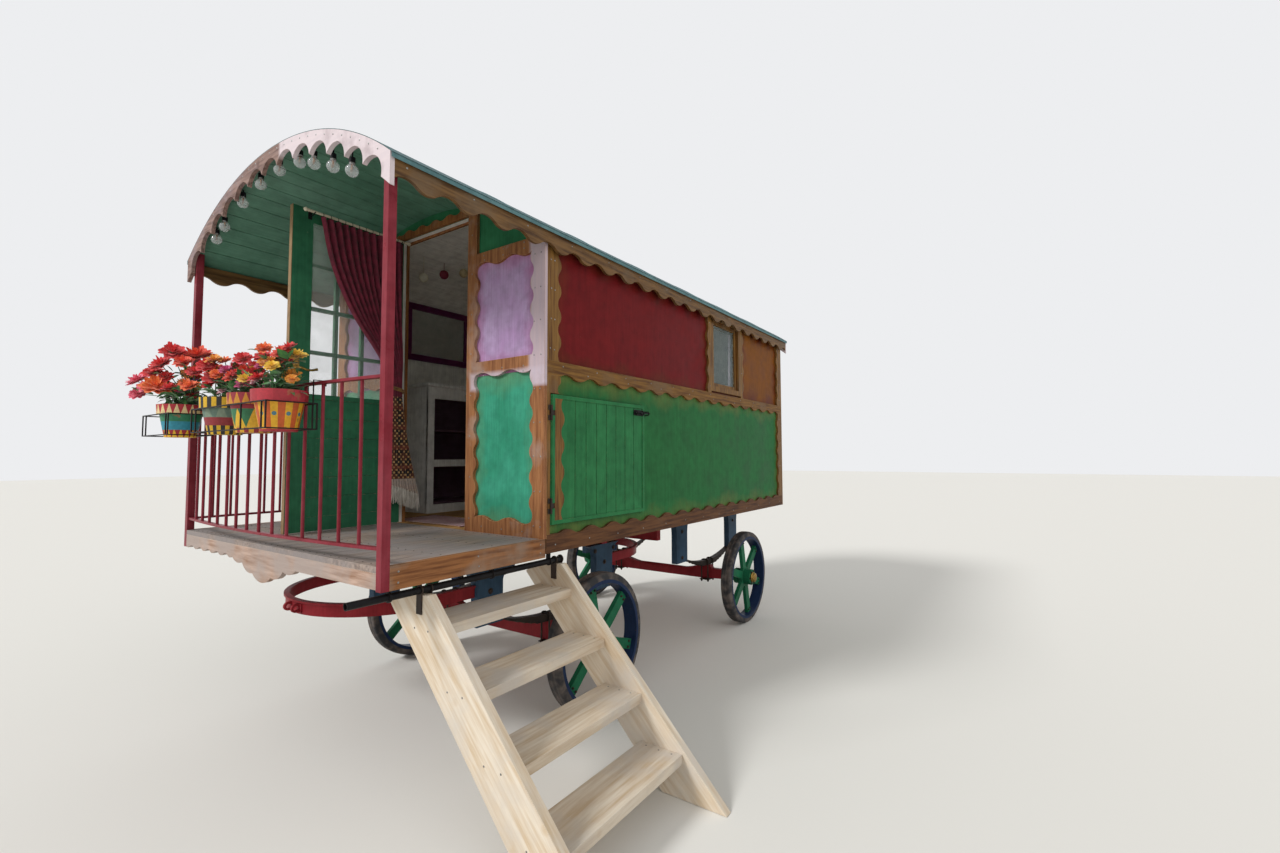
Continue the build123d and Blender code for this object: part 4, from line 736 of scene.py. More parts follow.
# the roof's arcs about one middle: underside of the boards, edge of the arch board, top of the sheet
roofMiddleZ, boardsR, archR, sheetR = 0.5479, 2.0091, 2.0271, 2.0301
sideTrim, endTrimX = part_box("waist_rails")[1].y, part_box("front_corner_boards")[1].x
rearTrimX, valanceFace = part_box("waist_rails")[0].x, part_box("eave_valances")[1].y
bargeFrontX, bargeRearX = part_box("front_bargeboard")[1].x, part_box("rear_bargeboard")[0].x
bottomZ = 0.325  # middle of the bottom boards
sideRows = (
    # height, distance in from both ends of the wall, count
    (waistTop - 0.022, 0.14, 12),
    (waistLow + 0.045, 0.37, 8),
    (bottomZ, 0.08, 13),
)
boardScrews = ([], [])
for side in (-1, 1):
    face, out = side * sideTrim, (0, side, 0)
    for z, inset, count in sideRows:
        screwRow(boardScrews, (wallFront - inset, face, z), (wallRear + inset, face, z), count, out)
    y, z = side * valanceFace, 2.136
    screwRow(boardScrews, (0.1, y, z), (wallRear - 0.04, y, z), 14, out)
    for x in (wallFront - 0.03, wallFront - 0.062, wallRear + 0.03, wallRear + 0.066):
        screwRow(boardScrews, (x, face, waistTop + 0.07), (x, face, 2.02), 4, out)
        if side < 0 or x < windowMiddle:
            screwRow(boardScrews, (x, face, 0.46), (x, face, waistLow - 0.06), 4, out)
    for x in (windowMiddle - 0.345, windowMiddle + 0.345):
        screwRow(boardScrews, (x, face, waistTop + 0.06), (x, face, 2.04), 4, out)
    for x in (-0.80, -0.36, 0.08):
        screwRow(boardScrews, (x, side * 1.15, 0.295), (x, side * 1.15, 0.34), 2, out)
    for y in (side * 1.075, side * 1.125):
        screwRow(boardScrews, (endTrimX, y, 0.44), (endTrimX, y, 2.05), 9, (1, 0, 0))
        screwRow(boardScrews, (rearTrimX, y, 0.46), (rearTrimX, y, 2.05), 9, (-1, 0, 0))
for y0, y1 in ((-0.95, -0.55), (0.62, 0.98)):
    for z in (2.105, 2.14, waistTop - 0.02, waistLow + 0.05, 0.405):
        screwRow(boardScrews, (endTrimX, y0, z), (endTrimX, y1, z), 3, (1, 0, 0))
for z in (waistTop - 0.022, bottomZ):
    screwRow(boardScrews, (rearTrimX, -0.95, z), (rearTrimX, 0.95, z), 7, (-1, 0, 0))
for y in (-0.385, 0.50):
    screwRow(boardScrews, (endTrimX, y, 0.45), (endTrimX, y, 2.30), 8, (1, 0, 0))
screwR = archR - 0.024
for k in range(27):
    angle = math.radians(90 + (k - 13) * 2.55)
    spot = (math.cos(angle) * screwR, roofMiddleZ + math.sin(angle) * screwR)
    for x, out in ((bargeFrontX, 1), (bargeRearX, -1)):
        place(boardScrews, screw, towards((x, *spot), (out, 0, 0), k))
makePiece("board_screws", boardScrews, screwZinc, "wagon")

deckNails = ([], [])
deckLow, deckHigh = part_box("porch_deck")
deckPlanks = 16
plankQuarter = (deckHigh.y - deckLow.y) / deckPlanks / 4
for x in (deckHigh.x - 0.035, -0.18, -0.50, deckLow.x + 0.06):
    screwRow(deckNails, (x, deckLow.y + plankQuarter, deckHigh.z), (x, deckHigh.y - plankQuarter, deckHigh.z),
             2 * deckPlanks, (0, 0, 1), nail, 0.003)
makePiece("deck_nails", deckNails, darkSteel, "wagon")

treadScrews = ([], [])
treadLow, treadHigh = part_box("step_treads")
stringerLow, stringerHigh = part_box("step_stringers")
stepForm = {"treads": 4, "rise": 0.2413, "run": 0.2467}
for k in range(stepForm["treads"]):
    top, y0 = treadHigh.z - stepForm["rise"] * k, treadLow.y + stepForm["run"] * k
    for x in (treadLow.x + 0.028, treadHigh.x - 0.028):
        screwRow(treadScrews, (x, y0 + 0.05, top), (x, y0 + 0.2, top), 3, (0, 0, 1))
    for x, out in ((stringerLow.x, -1), (stringerHigh.x, 1)):
        screwRow(treadScrews, (x, y0 + 0.08, top - 0.024), (x, y0 + 0.18, top - 0.024), 2, (out, 0, 0))
makePiece("tread_screws", treadScrews, screwZinc, "steps")
print("screws and nails")


# zinc laps across the roof, nailed along their edge, and a folded drip strip along each eave
roofForm = {"laps": 6, "lapWidth": 0.036, "lapThick": 0.003, "dripDrop": 0.02}


def arcBand(x0, x1, inner, outer, halfWidth, steps=48):
    reach = math.asin(halfWidth / outer)
    points, faces = [], []
    for k in range(steps + 1):
        angle = math.pi / 2 + reach * (1 - 2 * k / steps)
        for x in (x0, x1):
            for r in (inner, outer):
                points.append((x, r * math.cos(angle), roofMiddleZ + r * math.sin(angle)))
    for k in range(steps):
        a, b = 4 * k, 4 * k + 4
        faces += [(a, b, b + 1, a + 1), (a + 2, a + 3, b + 3, b + 2), (a + 1, b + 1, b + 3, a + 3),
                  (a, a + 2, b + 2, b)]
    faces += [(0, 1, 3, 2), (4 * steps, 4 * steps + 2, 4 * steps + 3, 4 * steps + 1)]
    return points, faces


laps = ([], [])
roofLow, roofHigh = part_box("roof_sheet")
for k in range(1, roofForm["laps"] + 1):
    x = roofLow.x + (roofHigh.x - roofLow.x) * k / (roofForm["laps"] + 1)
    lapHigh = sheetR + roofForm["lapThick"]
    place(laps, arcBand(x, x + roofForm["lapWidth"], sheetR - 0.0002, lapHigh, roofHigh.y - 0.002))
    for n in range(-13, 14):
        angle, nailR = math.radians(90 + n * 2.6), sheetR + 0.001
        spot = (x + 0.015, math.cos(angle) * nailR, roofMiddleZ + math.sin(angle) * nailR)
        place(laps, nail, towards(spot, (0, math.cos(angle), math.sin(angle))))
for side in (-1, 1):
    y0, y1 = sorted((side * (roofHigh.y - 0.004), side * (roofHigh.y - 0.0015)))
    low, high = (roofLow.x, y0, roofLow.z - roofForm["dripDrop"]), (roofHigh.x, y1, roofLow.z + 0.004)
    placeBox(laps, low, high, 0.0008)
makePiece("roof_laps_and_drips", laps, lapSheet, "wagon")
print("roof laps")


# lever handle on a long plate, on both faces of the door
handleForm = {"x": -0.112, "z": 1.40, "plate": (0.036, 0.19, 0.004), "drop": 0.03, "lever": 0.105,
              "keyhole": 0.075}
doorLow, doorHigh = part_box("door_leaf")
handle = ([], [])
rose = turnedShape([(0, 0), (0.015, 0), (0.015, 0.008), (0.01, 0.012), (0.009, 0.03), (0, 0.03)], 18)
keyhole = turnedShape([(0, 0), (0.006, 0), (0.006, 0.002), (0.0035, 0.003), (0, 0.003)], 12)
x, z, lever = handleForm["x"], handleForm["z"], handleForm["lever"]
wide, tall, thick = handleForm["plate"]
plateLow, plateHigh = z - handleForm["drop"] - tall / 2, z - handleForm["drop"] + tall / 2
for face, out in ((doorLow.y, -1), (doorHigh.y, 1)):
    y0, y1 = sorted((face, face + out * thick))
    placeBox(handle, (x - wide / 2, y0, plateLow), (x + wide / 2, y1, plateHigh), 0.0015)
    place(handle, rose, towards((x, face + out * thick, z), (0, out, 0)))
    y = face + out * 0.05
    path = [(x, face + out * 0.03, z), (x, face + out * 0.044, z), (x - 0.012, y, z)]
    path += [(x - lever * t, y, z - 0.012 * math.sin(t * math.pi)) for t in (0.4, 0.7, 1.0)]
    place(handle, barShape(path, [0.008, 0.008, 0.008, 0.0075, 0.007, 0.009], 12))
    place(handle, keyhole, towards((x, face + out * thick, z - handleForm["keyhole"]), (0, out, 0)))
makePiece("door_handle", handle, oldBrass, "door")

# a barrel bolt on the hatch and its keeper on the wall
latchForm = {"z": 1.155, "face": 1.163, "inset": 0.075, "rodR": 0.006, "loop": 0.004}
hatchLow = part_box("hatch_leaf")[0]
latch, keeper = ([], []), ([], [])
z, face, x = latchForm["z"], latchForm["face"], hatchLow.x + latchForm["inset"]
placeBox(latch, (x - 0.06, face, z - 0.02), (x + 0.06, face + 0.003, z + 0.02), 0.001)
place(latch, barShape([(x - 0.12, face + 0.011, z), (x + 0.055, face + 0.011, z)], latchForm["rodR"], 12))
for loopX in (x - 0.045, x + 0.035):
    loop = ((0.001, -0.014), (0.011, -0.011), (0.019, 0), (0.011, 0.011), (0.001, 0.014))
    place(latch, barShape([(loopX, face + out, z + up) for out, up in loop], latchForm["loop"], 8))
knob = turnedShape([(0, 0), (0.004, 0), (0.004, 0.014), (0.008, 0.018), (0.008, 0.024), (0, 0.028)], 12)
place(latch, knob, towards((x, face + 0.015, z), (0, 0.8, -0.6)))
makePiece("hatch_bolt", latch, blackIron, "hatch")
x = hatchLow.x - 0.035
loop = [(x, sideFace + 0.001, z - 0.013), (x, face + 0.012, z - 0.013), (x, face + 0.022, z),
        (x, face + 0.012, z + 0.013), (x, sideFace + 0.001, z + 0.013)]
place(keeper, barShape(loop, latchForm["loop"], 8))
placeBox(keeper, (x - 0.015, sideFace, z - 0.022), (x + 0.015, sideFace + 0.003, z + 0.022), 0.001)
makePiece("hatch_bolt_keeper", keeper, blackIron, "wagon")
print("door and hatch fittings")


# inside each bulb a glass mount, two wires and a zigzag filament; a threaded collar above
warmWire = bareMetal("drawn bronze wire", "#B07838", "#7A4E22", 0.3)
wires, collars = ([], []), ([], [])
bulbLow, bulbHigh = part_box("lamp_bulbs")
lampX = (bulbLow.x + bulbHigh.x) / 2
lampTable = (
    # y, drop of the bulb's middle below the roof boards
    (-0.880, 0.082), (-0.757, 0.082), (-0.487, 0.084), (-0.242, 0.082), (0.0, 0.082),
    (0.240, 0.095), (0.397, 0.124), (0.595, 0.150), (0.778, 0.160),
)
for y, drop in lampTable:
    z = roofMiddleZ + math.sqrt(boardsR ** 2 - y * y) - drop
    place(wires, turnedShape([(0, 0.036), (0.006, 0.036), (0.004, 0.02), (0.0025, 0.006), (0, 0.004)], 10),
          Matrix.Translation((lampX, y, z)))
    zigzag = [(lampX, y - 0.011, z + 0.02), (lampX, y - 0.014, z + 0.006)]
    for k in range(9):
        zigzag.append((lampX + 0.003 * (k % 2), y - 0.012 + k * 0.003, z - 0.004 + 0.009 * (k % 2)))
    zigzag += [(lampX, y + 0.014, z + 0.006), (lampX, y + 0.011, z + 0.02)]
    place(wires, barShape(zigzag, 0.0007, 5))
    thread = [(0.0132 + 0.0009 * (k % 2), 0.0305 + k * 0.0015) for k in range(6)]
    place(collars, turnedShape([(0, 0.0305)] + thread + [(0, 0.038)], 18), Matrix.Translation((lampX, y, z)))
makePiece("bulb_filaments", wires, warmWire, "wagon")
makePiece("bulb_collars", collars, screwZinc, "wagon")
print("bulbs")


# the tied-back door curtain: one gathered sheet, its patterned border and a knotted fringe
curtainForm = {
    "flatWidth": 1.20,
    "flatLength": 1.82,
    "folds": 12,
    "rows": 72,
    "columnsPerFold": 12,
    "plane": -0.228,
    "tie": 1.32,
    "borderTop": 1.27,
    "hemTop": 0.69,
    "fringe": 0.095,
    "edges": (
        # share down the cloth, front edge x, back edge x, front edge z, back edge z
        (0.00, -0.215, -0.790, 2.385, 2.385),
        (0.15, -0.285, -0.792, 2.10, 2.12),
        (0.32, -0.430, -0.796, 1.80, 1.82),
        (0.48, -0.640, -0.800, 1.51, 1.53),
        (0.58, -0.716, -0.792, 1.32, 1.33),
        (0.66, -0.706, -0.806, 1.19, 1.18),
        (0.82, -0.700, -0.865, 0.93, 0.88),
        (1.00, -0.702, -0.945, 0.65, 0.575),
    ),
}


# a smooth curve through rows of numbers, the first of each row being its share
def alongRows(rows, t):
    k = max(i for i in range(len(rows) - 1) if rows[i][0] <= t or i == 0)
    p0, p1, p2, p3 = rows[max(k - 1, 0)], rows[k], rows[k + 1], rows[min(k + 2, len(rows) - 1)]
    u = (t - p1[0]) / (p2[0] - p1[0])
    out = []
    for c in range(1, len(p1)):
        before = (p2[c] - p0[c]) / max(p2[0] - p0[0], 1e-6) * (p2[0] - p1[0])
        after = (p3[c] - p1[c]) / max(p3[0] - p1[0], 1e-6) * (p2[0] - p1[0])
        out.append((2 * u ** 3 - 3 * u ** 2 + 1) * p1[c] + (u ** 3 - 2 * u ** 2 + u) * before
                   + (-2 * u ** 3 + 3 * u ** 2) * p2[c] + (u ** 3 - u ** 2) * after)
    return out


# rows of folds whose length across always equals the flat width of the cloth
def gatheredGrid(form, seed):
    draw = random.Random(seed)
    folds, per = form["folds"], form["columnsPerFold"]
    columns = folds * per
    sizes = [draw.uniform(0.75, 1.25) for k in range(folds + 1)]
    drift = [draw.uniform(-0.5, 0.5) for k in range(folds + 1)]
    grid = []
    for row in range(form["rows"] + 1):
        t = row / form["rows"]
        frontX, backX, frontZ, backZ = alongRows(form["edges"], t)

        def rowPoints(depth):
            points = []
            for c in range(columns + 1):
                u = c / columns
                f = u * folds
                k = min(int(f), folds - 1)
                size = sizes[k] + (sizes[k + 1] - sizes[k]) * (f - k)
                sway = drift[k] + (drift[k + 1] - drift[k]) * (f - k)
                wave = math.sin(2 * math.pi * f + sway * (0.4 + t)) * size
                lean = math.cos(2 * math.pi * f + sway) * size * depth * 0.18
                points.append(Vector((frontX + (backX - frontX) * u + lean,
                                      form["plane"] + depth * wave,
                                      frontZ + (backZ - frontZ) * u - 0.004 * math.sin(6 * u + 9 * t))))
            return points

        shallow, deep = 0.0, 0.09
        for step in range(18):
            middle = (shallow + deep) / 2
            points = rowPoints(middle)
            length = sum((b - a).length for a, b in zip(points, points[1:]))
            if length < form["flatWidth"]:
                shallow = middle
            else:
                deep = middle
        grid.append(points)
    return grid


def gridShape(grid):
    width = len(grid[0])
    points = [tuple(p) for row in grid for p in row]
    faces = [(r * width + c, r * width + c + 1, (r + 1) * width + c + 1, (r + 1) * width + c)
             for r in range(len(grid) - 1) for c in range(width - 1)]
    return points, faces


# woven cotton satin above, a block printed border of small lozenges below; its threads are finer than
# 1 mm and are drawn 10 mm wide here so that they show
def wovenCloth(name, main, shade, threadMm=10.048, slubMm=41.67, border=None):
    material, tree, shader, plain = newMaterial(name)
    threads = addNode(tree, "TexWave", {"Vector": plain, "Scale": waveScale(threadMm), "Distortion": 0.4},
                      bands_direction="Z").outputs["Fac"]
    slub = addNode(tree, "TexNoise", {"Vector": plain, "Scale": 1000 / slubMm, "Detail": 5.0})
    colour = addNode(tree, "MixRGB", (addNode(tree, "MapRange", (slub, 0.35, 0.65)), main, shade))
    if border:
        z = addNode(tree, "SeparateXYZ", (plain,)).outputs["Z"]
        scale = 1000.0 / border["figureMm"]
        turned = addNode(tree, "Mapping", {"Vector": plain, "Rotation": (0.0, math.radians(45), 0.0),
                                           "Scale": (scale, 0.001, scale)})
        cells = addNode(tree, "TexChecker", {"Vector": turned, "Scale": 1.0}).outputs["Fac"]
        petals = addNode(tree, "TexVoronoi", {"Vector": turned, "Scale": 2.0, "Randomness": 0.0},
                         distance="MANHATTAN")
        dots = addNode(tree, "MapRange", (petals, 0.30, 0.36, 1.0, 0.0))
        printed = addNode(tree, "MixRGB", (cells, border["ground"], border["weave"]))
        printed = addNode(tree, "MixRGB", (dots, printed, border["figure"]))
        stripeScale = waveScale(border["stripeMm"])
        bands = addNode(tree, "TexWave", {"Vector": plain, "Scale": stripeScale, "Distortion": 0.0},
                        bands_direction="Z").outputs["Fac"]
        stripes = addNode(tree, "MapRange", (bands, 0.9, 0.94, 0.0, 0.5))
        printed = addNode(tree, "MixRGB", (stripes, printed, border["stripe"]))
        top = addNode(tree, "MapRange", (z, border["top"] - 0.004, border["top"] + 0.004, 1.0, 0.0))
        colour = addNode(tree, "MixRGB", (top, colour, printed))
        hem = addNode(tree, "Math", (z, border["hemTop"]), operation="LESS_THAN")
        colour = addNode(tree, "MixRGB", (addNode(tree, "Math", (hem, 0.75), operation="MULTIPLY"), colour,
                                          border["hem"]))
    fillSockets(tree, shader, {
        "Base Color": colour, "Roughness": 0.85, "Sheen Weight": 0.25, "Sheen Roughness": 0.4,
        "Normal": addNode(tree, "Bump", {"Height": threads, "Strength": 0.25, "Distance": 0.001}),
    })
    return material


curtainCloth = wovenCloth("woven maroon cotton with printed border", "#7C2038", "#5A1628", border={
    "top": curtainForm["borderTop"], "hemTop": curtainForm["hemTop"], "figureMm": 52, "stripeMm": 140,
    "ground": "#241814", "weave": "#5A3020", "figure": "#C29C68", "stripe": "#7A3226", "hem": "#B9ABA0",
})
# pale twisted yarn, dull ochre braid: soft and without shine
fringeYarn = wovenCloth("undyed cotton yarn", "#D8D2C8", "#B9B2A6")
goldBraid = wovenCloth("plaited ochre braid", "#9A7038", "#6A4A24")
creamPaint = brushedPaint("brushed cream paint on dowel", "#D9D0B8", "#C6BCA2", "X", 0.5)


def addCurtain():
    grid = gatheredGrid(curtainForm, 5)
    store = ([], [])
    place(store, gridShape(grid))
    curtain = makePiece("door_curtain", store, curtainCloth, "door")
    fringe = ([], [])
    draw = random.Random(8)
    hem = grid[-1]
    for start in hem[1:-1]:
        sway = Vector((draw.uniform(-0.008, 0.008), draw.uniform(-0.008, 0.008), 0))
        drop = curtainForm["fringe"] * draw.uniform(0.8, 1.15)
        knot = start + Vector((0, 0, -0.016))
        path = [start + Vector((0, 0, 0.003)), knot, knot + sway * 0.4 + Vector((0, 0, -drop * 0.5)),
                knot + sway + Vector((0, 0, -drop))]
        place(fringe, barShape(path, [0.0012, 0.0024, 0.0017, 0.0011], 5))
    yarn = makePiece("curtain_fringe", fringe, fringeYarn, "door")
    ties = ([], [])
    tied = curtainForm["edges"][4]
    middle = Vector(((tied[1] + tied[2]) / 2, curtainForm["plane"], curtainForm["tie"]))
    ring = [middle + Vector((0.052 * math.cos(a), 0.040 * math.sin(a), 0.012 * math.cos(a)))
            for a in (2 * math.pi * k / 28 for k in range(28))]
    for lift in (-0.007, 0.007):
        place(ties, barShape([p + Vector((0, 0, lift)) for p in ring], 0.0062, 8, True))
    hook = Vector((-0.79, doorHigh.y, curtainForm["tie"] + 0.03))
    cord = [middle + Vector((-0.045, -0.02, -0.01)), middle + Vector((-0.05, -0.04, 0.012)),
            hook + Vector((0, 0.008, 0))]
    place(ties, barShape(cord, 0.005, 8))
    tie = makePiece("curtain_tieback", ties, goldBraid, "door")


# a dowel with turned ends on two hooks, with a ring at every fold
rodForm = {"z": 2.402, "from": -0.135, "to": -0.815, "brackets": (-0.17, -0.775), "rings": 13,
           "firstRing": -0.222, "pitch": 0.047, "ringR": 0.0125}


def addRod():
    rod, brackets = ([], []), ([], [])
    y, z, ringR = curtainForm["plane"], rodForm["z"], rodForm["ringR"]
    place(rod, barShape([(rodForm["from"], y, z), (rodForm["to"], y, z)], 0.009, 16))
    finial = turnedShape([(0.009, -0.002), (0.011, 0), (0.009, 0.006), (0.014, 0.014), (0.014, 0.02),
                          (0.008, 0.028), (0, 0.03)], 16)
    for x, out in ((rodForm["from"], 1), (rodForm["to"], -1)):
        place(rod, finial, towards((x, y, z), (out, 0, 0)))
    makePiece("curtain_rod", rod, creamPaint, "door")
    face = doorHigh.y
    for x in rodForm["brackets"]:
        placeBox(brackets, (x - 0.012, face, z - 0.035), (x + 0.012, face + 0.004, z + 0.02), 0.001)
        place(brackets, barShape([(x, face + 0.003, z - 0.02), (x, y - 0.012, z - 0.018), (x, y, z - 0.0125),
                                  (x, y + 0.011, z - 0.004)], 0.0035, 8))
    for k in range(rodForm["rings"]):
        x = rodForm["firstRing"] - rodForm["pitch"] * k
        ring = [(x, y + ringR * math.cos(a), z - 0.0035 + ringR * math.sin(a))
                for a in (2 * math.pi * n / 18 for n in range(18))]
        place(brackets, barShape(ring, 0.0017, 6, True))
    makePiece("rod_brackets_and_rings", brackets, blackIron, "door")


addRod()
addCurtain()
print("curtain")


# what shows through the open door: lining round the doorway, a painted cabinet, a mirror, lamps and a rug
roomForm = {
    "wallY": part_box("right_wall")[1].y,
    "cabinet": {"x0": -2.24, "x1": -1.33, "depth": 0.415, "height": 1.10, "board": 0.045},
    "mirror": {"x0": -2.06, "x1": -1.37, "z0": 1.72, "z1": 2.24, "frame": 0.055},
    "lamps": ((-1.177, 2.305), (-1.371, 2.381), (-1.571, 2.448)),
    "lampY": -0.55,
    "paper": {"pale": "#D8D4C0", "rose": "#8A3A4A", "sand": "#C8B890"},
    "rug": {"x0": -1.29, "x1": -0.905, "y0": -0.51, "y1": 0.30},
}
# chalky white, matt aubergine and glossy aubergine paint on the furniture
cabinetPaint = brushedPaint("brushed chalk paint on pine cabinet", "#F0F0EC", "#DADCDA", "Z", 0.6, "#A89A86",
                            0.7)
shelfPaint = brushedPaint("brushed aubergine paint on shelf boards", "#5E4652", "#6E5862", "X", 0.5)
mirrorPaint = brushedPaint("brushed aubergine gloss on moulding", "#5A2048", "#6E305A", "X", 0.35, "#8A6A50",
                           0.7)
silvered = bareMetal("silvered mirror glass", "#C8CCCC", "#BCC2C2", 0.02, 60.0)


def addCabinet():
    form, back = roomForm["cabinet"], roomForm["wallY"]
    x0, x1, board = form["x0"], form["x1"], form["board"]
    front, top, middle = back + form["depth"], floorTop + form["height"], floorTop + 0.42
    carcass, shelves, knobs = ([], []), ([], []), ([], [])
    under, back0, x = top - 0.03, back + 0.002, (x0 + x1) / 2
    placeBox(carcass, (x0 - 0.02, back0, under), (x1 + 0.02, front + 0.025, top), 0.006)
    placeBox(carcass, (x0, back0, floorTop), (x0 + 0.02, front, under))
    placeBox(carcass, (x1 - 0.02, back0, floorTop), (x1, front, under))
    placeBox(carcass, (x0, back0, floorTop + 0.05), (x1, back + 0.012, under))
    for z0, z1 in ((floorTop, floorTop + 0.07), (middle - 0.03, middle + 0.03), (top - 0.13, under)):
        placeBox(carcass, (x0, front - 0.02, z0), (x1, front, z1))
    for postX in (x0, x - board / 2, x1 - board * 1.4):
        placeBox(carcass, (postX, front - 0.02, floorTop), (postX + board * 1.4, front + 0.002, under))
    for z in (floorTop + 0.08, middle, floorTop + 0.70):
        placeBox(shelves, (x0 + 0.02, back + 0.012, z - 0.008), (x1 - 0.02, front - 0.022, z + 0.008))
    placeBox(shelves, (x0 + 0.02, back + 0.014, floorTop + 0.09), (x1 - 0.02, back + 0.018, top - 0.04))
    makePiece("cabinet_frame", carcass, cabinetPaint, "wagon")
    makePiece("cabinet_shelves", shelves, shelfPaint, "wagon")
    knob = turnedShape([(0, 0), (0.006, 0), (0.006, 0.01), (0.013, 0.018), (0.011, 0.026), (0, 0.029)], 14)
    for knobX in (x - 0.07, x + 0.07):
        place(knobs, knob, towards((knobX, front, top - 0.08), (0, 1, 0)))
    makePiece("cabinet_knobs", knobs, oldBrass, "wagon")


def addMirror():
    form, back = roomForm["mirror"], roomForm["wallY"]
    x0, x1, z0, z1, wide = form["x0"], form["x1"], form["z0"], form["z1"], form["frame"]
    moulding, glass = ([], []), ([], [])
    bars = (
        # x from and to, z from and to
        (x0, x1, z0, z0 + wide),
        (x0, x1, z1 - wide, z1),
        (x0, x0 + wide, z0 + wide, z1 - wide),
        (x1 - wide, x1, z0 + wide, z1 - wide),
    )
    for fromX, toX, fromZ, toZ in bars:
        placeBox(moulding, (fromX, back + 0.001, fromZ), (toX, back + 0.028, toZ), 0.006)
    inset = wide - 0.004
    placeBox(glass, (x0 + inset, back + 0.003, z0 + inset), (x1 - inset, back + 0.010, z1 - inset), 0.0008)
    makePiece("mirror_frame", moulding, mirrorPaint, "wagon")
    makePiece("mirror_glass", glass, silvered, "wagon")


# three ribbed paper globes on thin stems from the roof boards
def addLamps():
    y = roomForm["lampY"]
    ceiling = roofMiddleZ + math.sqrt(boardsR ** 2 - y ** 2)
    ribs = [(0, -0.0375)]
    for k in range(1, 16):
        a = math.pi * k / 16
        ribs.append(((0.0365 + 0.001 * (k % 2)) * math.sin(a), -0.0375 * math.cos(a)))
    ribs.append((0, 0.0375))
    for (x, z), (tone, colour) in zip(roomForm["lamps"], roomForm["paper"].items()):
        globe = ([], [])
        place(globe, turnedShape(ribs, 24), Matrix.Translation((x, y, z)))
        place(globe, barShape([(x, y, z + 0.037), (x, y, ceiling + 0.002)], 0.0022, 6))
        shade = brushedPaint("waxed paper lamp shade " + tone, colour, colour, "Z", 0.8)
        makePiece("globe_lamp_" + tone, globe, shade, "wagon", 60)


# upright boards on both sides of the doorway, flush with the inside of the wall
def addLining():
    boards = ([], [])
    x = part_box("front_wall")[0].x
    for y0, y1 in ((-0.39, -0.33), (0.444, 0.504)):
        placeBox(boards, (x - 0.012, y0, floorTop), (x, y1, 2.44), 0.003)
    makePiece("inner_door_lining", boards, creamPaint, "wagon")


# a flat woven rug: red and white cross stripes, a little wavy, with a bound edge
def addRug():
    form = roomForm["rug"]
    columns, rows = 40, 72
    grid = []
    for r in range(rows + 1):
        line = []
        for c in range(columns + 1):
            u, v = c / columns, r / rows
            x = form["x0"] + (form["x1"] - form["x0"]) * u + 0.006 * math.sin(5 * v)
            y = form["y0"] + (form["y1"] - form["y0"]) * v
            z = floorTop + 0.0035 + 0.0012 * math.sin(9 * v + 2 * u) * math.sin(4 * u + 3 * v)
            line.append(Vector((x, y, z)))
        grid.append(line)
    material, tree, shader, plain = newMaterial("flat woven cotton rug")
    waves = {}
    for axis, widthMm in (("Y", 38), ("X", 6)):  # stripes across the rug, ribs along it
        values = {"Vector": plain, "Scale": waveScale(widthMm), "Distortion": 0.3}
        waves[axis] = addNode(tree, "TexWave", values, bands_direction=axis).outputs["Fac"]
    stripes, weave = waves["Y"], waves["X"]
    striped = addNode(tree, "MapRange", (stripes, 0.46, 0.54))
    fillSockets(tree, shader, {
        "Base Color": addNode(tree, "MixRGB", (striped, "#8E2436", "#CFC4C2")), "Roughness": 0.9,
        "Normal": addNode(tree, "Bump", {"Height": weave, "Strength": 0.5, "Distance": 0.002}),
    })
    store = ([], [])
    place(store, gridShape(grid))
    rug = makePiece("door_rug", store, material, "wagon")
    binding = ([], [])
    rim = grid[0] + [row[-1] for row in grid[1:]] + grid[-1][-2::-1] + [row[0] for row in grid[-2:0:-1]]
    place(binding, barShape([p + Vector((0, 0, 0.0005)) for p in rim], 0.003, 6, True))
    bound = makePiece("rug_binding", binding, goldBraid, "wagon")


# a short net curtain behind each side window, drawn back to the rear end of its wire
netForm = {
    "flatWidth": 0.36, "folds": 8, "rows": 26, "columnsPerFold": 8, "inside": 0.033,
    "threadMm": 18.84, "cover": 0.95,  # threads drawn coarse to show; share of the light that they stop
    "x0": windowMiddle - 0.40, "x1": windowMiddle - 0.25, "top": 2.045, "foot": 1.50,
}


def addNets():
    netCloth = wovenCloth("woven cotton net", "#F4ECF6", "#E2D8E8", netForm["threadMm"])
    netCloth.node_tree.nodes["Principled BSDF"].inputs["Alpha"].default_value = netForm["cover"]
    x0, x1, top, foot = netForm["x0"], netForm["x1"], netForm["top"], netForm["foot"]
    middle, wireZ, wireEnd = (top + foot) / 2, top + 0.006, windowMiddle + 0.31
    for side, name in ((1, "left"), (-1, "right")):
        y = side * (sideInner - netForm["inside"])
        edges = ((0.0, x0, x1, top, top), (0.5, x0 - 0.003, x1 + 0.005, middle, middle),
                 (1.0, x0 - 0.006, x1 + 0.012, foot, foot))
        grid = gatheredGrid({**netForm, "plane": y, "edges": edges}, 30 + side)
        store, wire = ([], []), ([], [])
        place(store, gridShape(grid))
        net = makePiece("window_net_" + name, store, netCloth, "wagon", 80)
        place(wire, barShape([(x0 - 0.03, y, wireZ), (wireEnd, y, wireZ)], 0.0035, 10))
        for x in (x0 - 0.025, wireEnd - 0.005):
            place(wire, barShape([(x, y, wireZ), (x, side * (sideInner - 0.001), wireZ)], 0.003, 8))
        makePiece("net_wire_" + name, wire, oldBrass, "wagon")


addCabinet()
addMirror()
addLamps()
addLining()
addRug()
addNets()
print("room behind the door")


